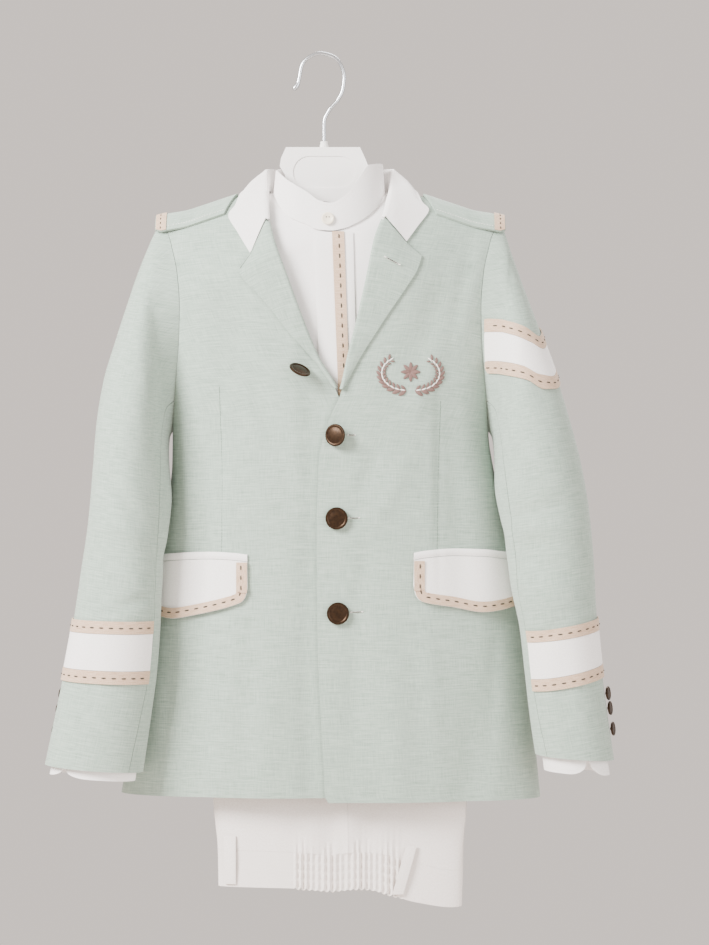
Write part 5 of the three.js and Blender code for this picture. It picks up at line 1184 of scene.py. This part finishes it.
class BuildBoards(bpy.types.Operator):
    """Shoulder boards with a stitched ribbon at the sleeve end.

    A board follows the shoulder line and drops to each side of it by a power of the distance from it.
    """

    bl_idname = "suit.boards"
    bl_label = "Shoulder boards"

    def strap(self, sign, start, stop, slant, lift, across, along):
        """Strap over the shoulder line, raised a little where it meets the sleeve."""
        v = np.linspace(-1, 1, along)[:, None]
        x = mix(start + slant * np.abs(v), stop, np.linspace(0, 1, across)[None, :])
        narrow = 1 - 0.12 * ease(154, 160, x)
        z = ridge(x) - 15.5 * np.abs(v * narrow) ** 1.5
        y = np.where(v <= 0, depth(x, z, FRONT), depth(x, z, BACK))
        up = np.stack([0 * v, np.sign(v) * np.abs(v) * 0.62, 1 + 0 * v], -1)
        up = unit(up)
        rise = lift + 4.2 * ease(126, 160, x)
        return np.stack([sign * x, y, z], -1) + up * rise[..., None]

    def execute(self, context):
        kit = materials()
        for word, sign, _, _ in SIDES:
            points = self.strap(sign, 85, 160, 12, 3.2, fine(60), fine(50))
            cloth(f"cloth_shoulder_board_{word}", points, (0, 0, 1), 2.4, kit.linen,
                  f"shoulder_board_{word}")
            points = self.strap(sign, 150, 159.5, 0, 4.3, fine(12), fine(50))
            cloth(f"cloth_shoulder_board_ribbon_{word}", points, (0, 0, 1), 0.8, kit.ribbon,
                  f"shoulder_board_ribbon_{word}")
            normal = grid_normals(points, np.array([0.0, 0, 1]))
            middle = points.shape[1] // 2
            threads(f"stitches_board_{word}", points[:, middle], normal[:, middle], 2.6, 5.0, 0.5,
                    kit.dark_thread)
            edge = self.strap(sign, 87, 150, 11, 3.25, fine(60), fine(50))
            normal = grid_normals(edge, np.array([0.0, 0, 1]))
            for name, line in (("front", 4), ("behind", len(edge) - 5)):
                threads(f"stitches_board_{name}_{word}", edge[line], normal[line], 1.7, 2.5, 0.22,
                        kit.white_thread, lift=0.05)
        return {"FINISHED"}


class BuildButtons(bpy.types.Operator):
    """Front buttons, the buttonholes and the button of the shirt, turned from their outlines."""

    bl_idname = "suit.buttons"
    bl_label = "Buttons"

    def execute(self, context):
        kit = materials()
        radius = 10.1
        for name, x, z, turn_x, off, shank in (
            ("front_button_1", 7.3, -349, -0.55, 1.0, 4.4),
            ("front_button_2", 6, -423.7, -0.04, 0.6, 1.6),
            ("front_button_3", 7.1, -509.1, 0.02, 0.6, 1.6),
        ):
            centre = (x, float(depth(x, z, FRONT)) - off, z)
            lathe(f"turned_{name}", self.profile(radius, shank), centre, (turn_x, -1, 0), kit.bronze, name)
        centre = (-28, float(depth(-25, -292, FRONT)) - 7.4, -293)
        name = "front_button_under_lapel"
        lathe(f"turned_{name}", self.profile(radius, 2), centre, (0.45, -0.55, 0.95), kit.bronze, name)
        self.holes(kit)
        self.shirt_button(kit)
        return {"FINISHED"}

    def profile(self, radius, shank):
        """Outline of a shank button: shank, back, rounded rim, groove and a low dome."""
        face = ((0.18, 0), (0.84, 0), (0.95, 0.3), (1.0, 0.9), (0.99, 1.6), (0.93, 2.2), (0.84, 2.35),
                (0.76, 2.1), (0.72, 1.7), (0.66, 1.75), (0.5, 2.1), (0.3, 2.3), (0.001, 2.4))
        stem = [(0.001 * radius, 0), (0.18 * radius, 0)]
        return stem + [(radius * r, shank + h) for r, h in face]

    def holes(self, kit):
        """Worked buttonholes: close threads side by side along each slit, over a dark lens of painted shadow
        in the slit.
        """
        for name, sign, start, stop in (
            ("hole_1", RIGHT, (15.5, -348.8), (23.6, -348.8)),
            ("hole_2", RIGHT, (15.8, -423.4), (27.4, -423.2)),
            ("hole_3", RIGHT, (18.0, -508), (30.2, -507.6)),
            ("hole_lapel", RIGHT, (48.0, -188.5), (63.0, -196.5)),
        ):
            t = np.linspace(0, 1, 40)
            place, normal = on_front(sign, mix(start[0], stop[0], t), mix(start[1], stop[1], t))
            lift = 4.6 if name == "hole_lapel" else 0.15
            run = math.dist(start, stop)
            # Painted shadow: one dark lens along the slit stands for the shade in the opening
            threads(f"slit_{name}", place + normal * lift, normal, 0.88 * run, 0.2 * run, 0.4,
                    kit.dark_thread, lift=0.8)
            threads(f"stitches_{name}", place + normal * lift, normal, 0.55, 0.62, 0.65, kit.white_thread,
                    lift=0.1)

    def shirt_button(self, kit):
        """Button at the collar of the shirt, its four holes drawn as thin discs of painted shadow."""
        profile = [(0.01, 0), (4.9, 0), (5.6, 0.5), (5.7, 1.1), (5.3, 1.7), (4.4, 1.8), (3.7, 1.35),
                   (0.01, 1.25)]
        hole = [(0.01, 0), (0.62, 0), (0.62, 0.06), (0.01, 0.06)]
        facing = np.array([0, -math.cos(0.14), math.sin(0.14)])
        centre = np.array([-2.1, -38.0, -153.3])
        lathe("turned_shirt_collar_button", profile, centre, facing, kit.cream, "shirt_collar_button")
        # Painted shadow: four thin dark discs on the face stand for the shade in the holes
        for i, (dx, dz) in enumerate(((1.25, 1.25), (-1.25, 1.25), (-1.25, -1.25), (1.25, -1.25))):
            spot = centre + facing * 1.22 + np.array([dx, 0.02 * dz, dz])
            lathe(f"hole_shirt_button_{i + 1}", hole, spot, facing, kit.dark_thread, None,
                  16)


class BuildEmblem(bpy.types.Operator):
    """Generic embroidered laurel spray with a star on the chest."""

    bl_idname = "suit.emblem"
    bl_label = "Chest embroidery"

    def leaves(self, name, rows, material, long, wide):
        """Raised stitched leaves: each a small lens with its own place and lean."""
        rows = np.asarray(rows, float)
        station, turn = np.linspace(0, 1, 9), np.arange(10) * 2 * math.pi / 10
        size = np.sin(math.pi * station) ** 0.7
        along = (station - 0.5) * long
        across = size[:, None] * np.cos(turn)[None] * wide / 2
        lift = 0.25 + size[:, None] * (0.55 + 0.45 * np.sin(turn)[None])
        lean = np.radians(rows[:, 2])[:, None, None]
        grow = rows[:, 3][:, None, None]
        along, across = along[None, :, None], across[None]
        x = rows[:, 0, None, None] + grow * (along * np.cos(lean) - across * np.sin(lean))
        z = rows[:, 1, None, None] + grow * (along * np.sin(lean) + across * np.cos(lean))
        place, normal = on_front(RIGHT, x, z)
        points = place + normal * lift[None, :, :, None]
        index = np.arange(points[..., 0].size).reshape(x.shape)
        faces = tube_faces(index)[:, ::-1]
        uv = np.zeros((points[..., 0].size, 2))
        piece = mesh_object(name, points.reshape(-1, 3), faces, uv, material, 80)
        finish(piece, None)

    def execute(self, context):
        kit = materials()
        middle_x, middle_z = 72.5, -295.0
        outer, inner, stems = [], [], []
        for sign in (LEFT, RIGHT):
            for i in range(11):
                t = i / 10
                bend = math.radians(mix(-82, 52, t))
                x = middle_x + sign * (4 + 22 * math.cos(bend))
                z = middle_z + 2 + 15.5 * math.sin(bend)
                lean = math.degrees(bend) + 90
                out = lean - 42 if sign == RIGHT else 180 - lean + 42
                back = lean + 38 if sign == RIGHT else 180 - lean - 38
                grow = 1.0 - 0.35 * t
                outer.append((x + sign * 2.6 * math.cos(bend), z + 2.6 * math.sin(bend), out, grow))
                inner.append((x - sign * 2.2 * math.cos(bend), z - 2.2 * math.sin(bend), back, grow * 0.85))
                stems.append((x, z, lean if sign == RIGHT else 180 - lean, 0.8))
        self.leaves("embroidery_outer_leaves", outer, kit.rosy_thread, 9.0, 3.8)
        self.leaves("embroidery_inner_leaves", inner, kit.rosy_thread, 7.6, 3.0)
        self.leaves("embroidery_stems", stems, kit.white_thread, 7.0, 1.5)
        star = [(middle_x + 4.6 * math.cos(a), middle_z + 3 + 4.6 * math.sin(a), math.degrees(a), 1.0)
                for a in np.radians(np.arange(8) * 45 + 90)]
        self.leaves("embroidery_star", star, kit.rosy_thread, 9.4, 3.4)
        return {"FINISHED"}


def shirt_y(x, z):
    """Depth of the shirt front: it stands back where the jacket laps over it."""
    return depth(x, z, FRONT, SHIRT_INSET) + 3.5 * (1 - ease(28, 60, np.abs(x))) - SEAM / 2


class BuildShirt(bpy.types.Operator):
    """Shirt fronts, back, collar, placket, sleeves and cuffs.

    The shirt has the section of the jacket body, moved in by its own inset. Its collar is a band between
    an upper and a lower line round the neck.
    """

    bl_idname = "suit.shirt"
    bl_label = "Shirt"

    def execute(self, context):
        kit = materials()
        across, hem_rows, arm_rows = fine(44), fine(30), fine(50)
        neckline = reader(
            table("along x z", (0, 0.3, -166), (0.35, 18, -160), (0.7, 37, -146), (0.9, 48, -132),
                  (1, 49.8, RIDGE_Z - SHIRT_INSET * 0.9)), "along")
        for word, sign, rows, _ in SIDES:
            def inner(rise, z, sign=sign):
                row = neckline((rise - 0.6) / 0.4)
                low = mix(underarm(SHIRT_INSET), -166, rise / 0.6)
                x = np.where(rise <= 0.6, 0.3, row.x)
                return sign * x, np.where(rise <= 0, z, np.where(rise <= 0.6, low, row.z))

            def bump(x, z):
                return shirt_y(x, z) - depth(x, z, FRONT, SHIRT_INSET) + SEAM / 2

            grid = body_grid(sign, FRONT, inner, SHIRT_HEM_Z, across, hem_rows, arm_rows, SHIRT_INSET, bump)
            name = f"shirt_front_{word}"
            cloth(f"cloth_{name}", grid, (0, -1, 0), 0.9, kit.shirt, name)
            self.sleeve(kit, word, sign, rows)
            self.cuff(kit, word, sign, rows)
        grid = back_grid(SHIRT_HEM_Z, 8, across, hem_rows, arm_rows, SHIRT_INSET)
        cloth("cloth_shirt_back", grid, (0, 1, 0), 0.9, kit.shirt, "shirt_back")
        self.collar(kit)
        self.placket(kit)
        return {"FINISHED"}

    def sleeve(self, kit, word, sign, rows):
        """Shirt sleeve inside the jacket sleeve, gathered in near the armhole."""
        inset_at = reader(
            table("ring inset", (0, 6), (1, 16), (2, 12), (3, 8.5), (4, 6.6), (5, 6)), "ring")
        rings = np.linspace(0.01, 12.1, fine(60))
        turn = np.radians(np.linspace(0, 360, fine(48) + 1))
        lines = [sleeve_point(rows, sign, ring, turn, float(inset_at(ring).inset)) for ring in rings]
        points = np.stack(lines)
        middle = points[:, :-1].mean(axis=1, keepdims=True)
        name = f"shirt_sleeve_{word}"
        cloth(f"cloth_{name}", points, points - middle, 0.9, kit.shirt, name, closed=True)

    def cuff(self, kit, word, sign, rows):
        """Cuff open at the front, with rounded corners."""
        opening, below = (50, 8.5) if sign == LEFT else (71, 14)
        part = np.linspace(0, 1, fine(90))
        turn = np.radians(opening + 2.5 + 355 * part)
        end = sleeve_point(rows, sign, LAST_RING, turn, SHIRT_INSET)
        start = sleeve_point(rows, sign, 12.12, turn, SHIRT_INSET)
        down = unit(end - start)
        near = np.minimum(part, 1 - part) * 20 / 2
        rounded = np.where(near < 1, 1 - np.sqrt(np.clip(1 - (1 - near) ** 2, 0, 1)), 0)
        tip = end + down * (below - rounded * (below - 1))[:, None]
        rise = np.linspace(0, 1, fine(24))[:, None, None]
        points = mix(start[None], tip[None], rise)
        middle = points.mean(axis=1, keepdims=True)
        name = f"shirt_cuff_{word}"
        cloth(f"cloth_{name}", points, points - middle, 1.2, kit.shirt, name)
        normal = points[0] - middle[0]
        normal = unit(normal)
        keep = slice(4, len(part) - 4)
        line = (tip - down * 3.2)[keep]
        threads(f"stitches_{name}", line, normal[keep], 1.7, 2.5, 0.2, kit.white_thread, lift=0.05)

    def collar(self, kit):
        """Band collar round the neck, its ends lapped in front."""
        whole = np.linspace(-18, 369, fine(180))
        row = shirt_collar_at(np.where(whole > 180, whole - 360, whole))
        turn = np.radians(whole)
        under = 2.2 * ease(318, 344, whole)
        ahead = np.cos(turn) > 0
        top = np.stack([-1 + (49 - under) * np.sin(turn),
                        -4 - (np.where(ahead, 32, 22) - under) * np.cos(turn), row.top], -1)
        base_x = -1 + (51 - under) * np.sin(turn)
        ring_y = -4 - (np.where(ahead, 34, 22) - under) * np.cos(turn)
        rest_y = shirt_y(base_x, row.base) - 1.8 + under
        low = row.base - np.where(ahead, 2.6 * np.sin(2 * turn) ** 2, 0)
        base = np.stack([base_x, np.where(ahead, np.minimum(ring_y, rest_y), ring_y), low], -1)
        rise = np.linspace(0, 1, fine(20))[:, None, None]
        points = mix(top[None], base[None], rise)
        cloth("cloth_shirt_collar", points, points * [1, 1, 0] + [1, 4, 0], 1.1, kit.shirt, "shirt_collar")
        normal = points[0] * [1, 1, 0] + [1, 4, 0]
        normal = unit(normal)
        threads("stitches_shirt_collar", points[2], normal, 1.7, 2.5, 0.2, kit.white_thread,
                lift=0.05)

    def strip(self, left, right, lift, columns):
        """Strip down the front between two leaning edges, each a top and a lean."""
        z0 = np.linspace(-166, SHIRT_HEM_Z + 2, fine(120))[:, None]
        lean = np.minimum((z0 + 166) / -137, 1)
        x = mix(left[0] + left[1] * lean, right[0] + right[1] * lean, np.linspace(0, 1, columns)[None, :])
        z = np.minimum(z0, np.where(x < 5, -166, -166 + 0.22 * (x - 5)))
        step = 0.8
        slope_x = (shirt_y(x + step, z) - shirt_y(x - step, z)) / (2 * step)
        slope_z = (shirt_y(x, z + step) - shirt_y(x, z - step)) / (2 * step)
        normal = np.stack([slope_x, -np.ones_like(x), slope_z], -1)
        normal = unit(normal)
        return np.stack([x, shirt_y(x, z), z], -1) + normal * lift, normal

    def placket(self, kit):
        """Placket over the buttons, with a stitched ribbon down it."""
        points, normal = self.strip((-15.4, 6.4), (20.7, 3.4), 2.0, fine(26))
        points = points - normal * 0.6 * (np.abs(np.linspace(-1, 1, points.shape[1])) ** 6)[None, :, None]
        cloth("cloth_shirt_placket", points, (0, -1, 0), 0.9, kit.shirt, "shirt_placket")
        points, normal = self.strip((1.7, 5.4), (12.6, 4.6), 3.0, fine(10))
        cloth("cloth_shirt_placket_ribbon", points, (0, -1, 0), 0.8, kit.ribbon, "shirt_placket_ribbon")
        middle = points.shape[1] // 2
        threads("stitches_placket_ribbon", points[:, middle], normal[:, middle], 4.2,
                settings().stitch, 0.62, kit.dark_thread)


def hip_point(angle, z):
    """Point of the flattened trouser tube: angle 0 at the viewer's right, 90 on the near side."""
    row = hips_at(z)
    cosine, sine = np.cos(angle), np.sin(angle)
    x = row.middle + row.half * np.sign(cosine) * np.abs(cosine) ** 0.8
    far = np.where(sine < 0, 10 * -sine * np.maximum(0, cosine), 0)
    y = row.midY - row.deep * np.sign(sine) * np.abs(sine) ** 0.8
    return np.stack(np.broadcast_arrays(x + far, y, z), -1)


class BuildTrousers(bpy.types.Operator):
    """Trousers folded over the bar: waistband, hips, legs and belt loops.

    Hips and legs are flattened tubes: cosine and sine of the angle to a power below 1, with a half width
    and a half depth from a table. A leg's tube follows its path up to the bar, over it and down again.
    """

    bl_idname = "suit.trousers"
    bl_label = "Trousers"

    def gathers(self, x):
        """Uneven waves where the elastic draws the cloth in."""
        part = (x + 33) / 99
        shape = np.sin(part * math.pi * 38 + 0.5 * np.sin(part * 9)) * (0.8 + 0.3 * np.sin(part * 23))
        return shape * ease(-36, -29, x) * (1 - ease(62, 69, x))

    def execute(self, context):
        kit = materials()
        near = np.linspace(3, 177, fine(560))
        far = np.linspace(184, 363, fine(70))
        angle = np.radians(np.concatenate([near, far]))[None, :]
        on_near = np.sin(angle) > 0
        flat = hip_point(angle, np.full_like(angle, -745.0))[..., 0]
        line = waist_at(np.where(on_near, flat, -103))
        down = np.linspace(0, 1, fine(40))[:, None]
        z = mix(line.seam, line.edge, down)
        points = hip_point(angle, z)
        wave = self.gathers(points[..., 0]) * on_near
        puff = 0.3 + 0.7 * np.abs(np.sin(down * math.pi * 4))
        points[..., 1] -= 1.9 * wave * puff
        points[..., 2] += 0.9 * wave * (down > 0.97)
        base = ["cloth_trousers_leg_viewer_left", "cloth_trousers_leg_viewer_right"]
        outward = points * [0.12, 1, 0] - [0, -8, 0]
        cloth("cloth_trousers_waistband", points, outward, 1.2, kit.trouser, "trousers_waistband",
              closed=True)
        picked = (points[0, :, 0] > -33) & (points[0, :, 0] < 66) & on_near[0]
        for i, part in enumerate((0.16, 0.4, 0.64, 0.88)):
            row = points[int(part * (len(points) - 1))][picked]
            row = row[np.argsort(row[:, 0])]
            normal = np.tile([0.0, -1.0, 0.0], (len(row), 1))
            threads(f"stitches_waistband_{i + 1}", row, normal, 1.9, 2.6, 0.28, kit.white_thread,
                    lift=0.05)
        self.hips(kit, base)
        self.legs(kit)
        self.loops(kit)
        return {"FINISHED"}

    def hips(self, kit, base):
        """Two back panels on the near side and the front panel behind them."""
        for name, start, stop, count in (
            ("trousers_back_viewer_right", 3, 88.17, 100), ("trousers_back_viewer_left", 88.23, 177, 100),
            ("trousers_front", 183, 357, 60),
        ):
            angle = np.radians(np.linspace(start, stop, fine(count)))[None, :]
            near = start < 180
            flat = hip_point(angle, np.full_like(angle, -745.0))[..., 0]
            low = waist_at(flat if near else -103 + 0 * flat).seam + 0.1
            rise = np.linspace(0, 1, fine(70))[:, None]
            points = hip_point(angle, mix(low, FORK_Z, rise))
            x, z = points[..., 0], points[..., 2]
            if near:
                pleat = np.cos((x - 16) / 5.4) * np.exp(-(((x - 16) / 46) ** 2))
                fan = self.gathers(x) * np.exp((low - z) / 16)
                points[..., 1] -= 1.3 * (1 - rise) * pleat + 1.0 * fan
            outward = (0, -1 if near else 1, 0)
            cloth(f"cloth_{name}", points, outward, 1.2, kit.trouser, name)

    def legs(self, kit):
        """Flattened tubes from the fork up to the bar, over it and down behind."""
        path_at = reader(LEG_PATH, "step")
        for word, middle, shift in (("viewer_left", -49.8, 2), ("viewer_right", 62.4, -8)):
            step = np.linspace(0, 10, fine(90))[:, None]
            row = path_at(step)
            turn = np.linspace(0, 2 * math.pi, fine(72) + 1)[None, :]
            cosine, sine = np.cos(turn), np.sin(turn)
            toward = np.radians(row.toward)
            side = row.half * np.sign(cosine) * np.abs(cosine) ** 0.8
            off = row.thick * np.sign(sine) * np.abs(sine) ** 0.8
            x = middle + shift * np.minimum(1, step / 4) + side
            points = np.stack([x, row.y - off * np.cos(toward), row.z + off * np.sin(toward)], -1)
            centre = np.stack([middle + 0 * step, row.y, row.z], -1)
            name = f"trousers_leg_{word}"
            cloth(f"cloth_{name}", points, points - centre, 1.1, kit.trouser, name,
                  closed=True)

    def loops(self, kit):
        """Belt loops over the waistband."""
        for word, lift, top_from, top_to, top_z, low_from, low_to, low_z in (
            ("viewer_left", 2.0, -97.3, -86.2, -713, -96.4, -86.1, -757),
            ("viewer_right", 2.8, 68.9, 78.6, -722, 56.2, 66.4, -765.6),
        ):
            t = np.linspace(0, 1, fine(30))[:, None]
            c = np.linspace(0, 1, fine(12))[None, :]
            x = mix(mix(top_from, low_from, t), mix(top_to, low_to, t), c)
            z = mix(top_z, low_z, t) + 0 * x
            row = hips_at(z)
            across = np.minimum(np.abs(x - row.middle) / row.half, 1)
            y = row.midY - row.deep * np.sqrt(1 - across ** 2.5) ** 0.8
            y = y - lift - 1.2 * np.sin(math.pi * t) - 0.3 * np.sin(math.pi * c)
            points = np.stack([x, y, z], -1)
            cloth(f"cloth_belt_loop_{word}", points, (0, -1, 0), 1.2, kit.trouser, f"belt_loop_{word}")
            normal = np.tile([0.0, -1.0, 0.0], (len(t), 1))
            for edge, which in ((1, "first"), (-2, "second")):
                threads(f"stitches_loop_{word}_{which}", points[:, edge], normal, 1.7, 2.5, 0.22,
                        kit.white_thread, lift=0.05)


class BuildHanger(bpy.types.Operator):
    """Finish of the hanger and its smooth wire hook, a round wire along a curved path."""

    bl_idname = "suit.hanger"
    bl_label = "Hanger"

    def execute(self, context):
        kit = materials()
        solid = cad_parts["hanger_frame"]
        solid.data.materials.clear()
        solid.data.materials.append(kit.plastic)
        at = reader(HOOK, "step")(np.linspace(0, 13, fine(150)))
        path = np.stack([at.x - AXIS_X, 0 * at.x, at.z], -1)
        ahead = np.gradient(path, axis=0)
        ahead = unit(ahead)
        side = np.array([0.0, 1.0, 0.0])
        up = np.cross(side, ahead)
        radius = np.full(len(path), 1.75)
        radius[-14:] = 1.75 + 0.6 * np.sin(np.linspace(0, 1, 14) * math.pi * 0.8)
        radius[-1], radius[-2] = 0.6, 1.6
        turn = np.linspace(0, 2 * math.pi, 25)[None, :, None]
        ring = side * np.cos(turn) + up[:, None] * np.sin(turn)
        points = path[:, None] + ring * radius[:, None, None]
        index = np.arange(len(path) * 24).reshape(len(path), 24)
        faces = tube_faces(index)[:, ::-1]
        caps = [tuple(index[0]), tuple(index[-1, ::-1])]
        flat = points[:, :-1].reshape(-1, 3)
        piece = mesh_object("wire_hanger_hook", flat, [tuple(f) for f in faces] + caps,
                            np.zeros((len(flat), 2)), kit.wire, 50)
        finish(piece, "hanger_hook")
        return {"FINISHED"}


class BuildStage(bpy.types.Operator):
    """Pale floor, soft lights and the camera."""

    bl_idname = "suit.stage"
    bl_label = "Stage"

    def light(self, name, place, size, power, colour):
        """Square lamp that looks at the middle of the suit."""
        lamp = bpy.data.lights.new(name, "AREA")
        lamp.size = size
        lamp.energy = power * settings().light
        lamp.color = colour
        item = bpy.data.objects.new(name, lamp)
        item.location = place
        aim = np.array([0.03, -0.02, -0.4]) - np.array(place)
        item.rotation_euler = (
            math.atan2(math.hypot(aim[0], aim[1]), -aim[2]), 0, math.atan2(aim[1], aim[0]) - math.pi / 2
        )
        bpy.context.scene.collection.objects.link(item)

    def execute(self, context):
        kit = materials()
        mesh = bpy.data.meshes.new("floor")
        corners = [(-2.5, -2.2, -1.25), (2.5, -2.2, -1.25), (2.5, 1.1, -1.25), (-2.5, 1.1, -1.25)]
        mesh.from_pydata(corners, [], [(0, 1, 2, 3)])
        mesh.materials.append(kit.stage)
        floor = bpy.data.objects.new("floor", mesh)
        bpy.context.scene.collection.objects.link(floor)
        self.light("key_lamp", (-1.5, -1.3, 0.7), 0.9, 185, (1.0, 0.99, 0.975))
        self.light("fill_lamp", (1.7, -1.7, 0.0), 1.6, 44, (0.97, 0.985, 1.0))
        self.light("rim_lamp", (0.3, 0.8, 1.0), 0.9, 30, (1.0, 1.0, 1.0))
        world = bpy.data.worlds.new("studio")
        world.use_nodes = True
        world.node_tree.nodes["Background"].inputs["Color"].default_value = linear("#e3d8d0")
        world.node_tree.nodes["Background"].inputs["Strength"].default_value = 1.3
        bpy.context.scene.world = world
        camera = bpy.data.cameras.new("photo_camera")
        camera.sensor_fit = "VERTICAL"
        camera.sensor_height = 36
        camera.lens = 101.6
        item = bpy.data.objects.new("photo_camera", camera)
        item.location = (0.0315, -2.445, -0.3825)
        item.rotation_euler = (math.pi / 2, 0, 0)
        bpy.context.scene.collection.objects.link(item)
        bpy.context.scene.camera = item
        return {"FINISHED"}


class SuitPanel(bpy.types.Panel):
    """Settings and steps of the suit."""

    bl_idname = "VIEW3D_PT_communion_suit"
    bl_label = "First communion suit"
    bl_space_type = "VIEW_3D"
    bl_region_type = "UI"
    bl_category = "Suit"

    def draw(self, context):
        for name in ("density", "linen", "stitch", "light"):
            self.layout.prop(context.scene.communion_suit, name)
        for operator in OPERATORS:
            self.layout.operator(operator.bl_idname)


OPERATORS = (
    BuildShirt, BuildTrousers, BuildBody, BuildSleeves, BuildCollar, BuildPockets, BuildBoards, BuildButtons,
    BuildEmblem, BuildHanger, BuildStage,
)


def register():
    """Adds the settings, the steps and the panel."""
    for item in (SuitSettings, *OPERATORS, SuitPanel):
        bpy.utils.register_class(item)
    bpy.types.Scene.communion_suit = bpy.props.PointerProperty(type=SuitSettings)


def unregister():
    """Takes them away again."""
    del bpy.types.Scene.communion_suit
    for item in reversed((SuitSettings, *OPERATORS, SuitPanel)):
        bpy.utils.unregister_class(item)


def main():
    """Runs every step in order."""
    register()
    for operator in OPERATORS:
        family, name = operator.bl_idname.split(".")
        if getattr(getattr(bpy.ops, family), name)() != {"FINISHED"}:
            raise RuntimeError(f"{operator.bl_label} didn't finish")


if __name__ == "__main__":
    main()
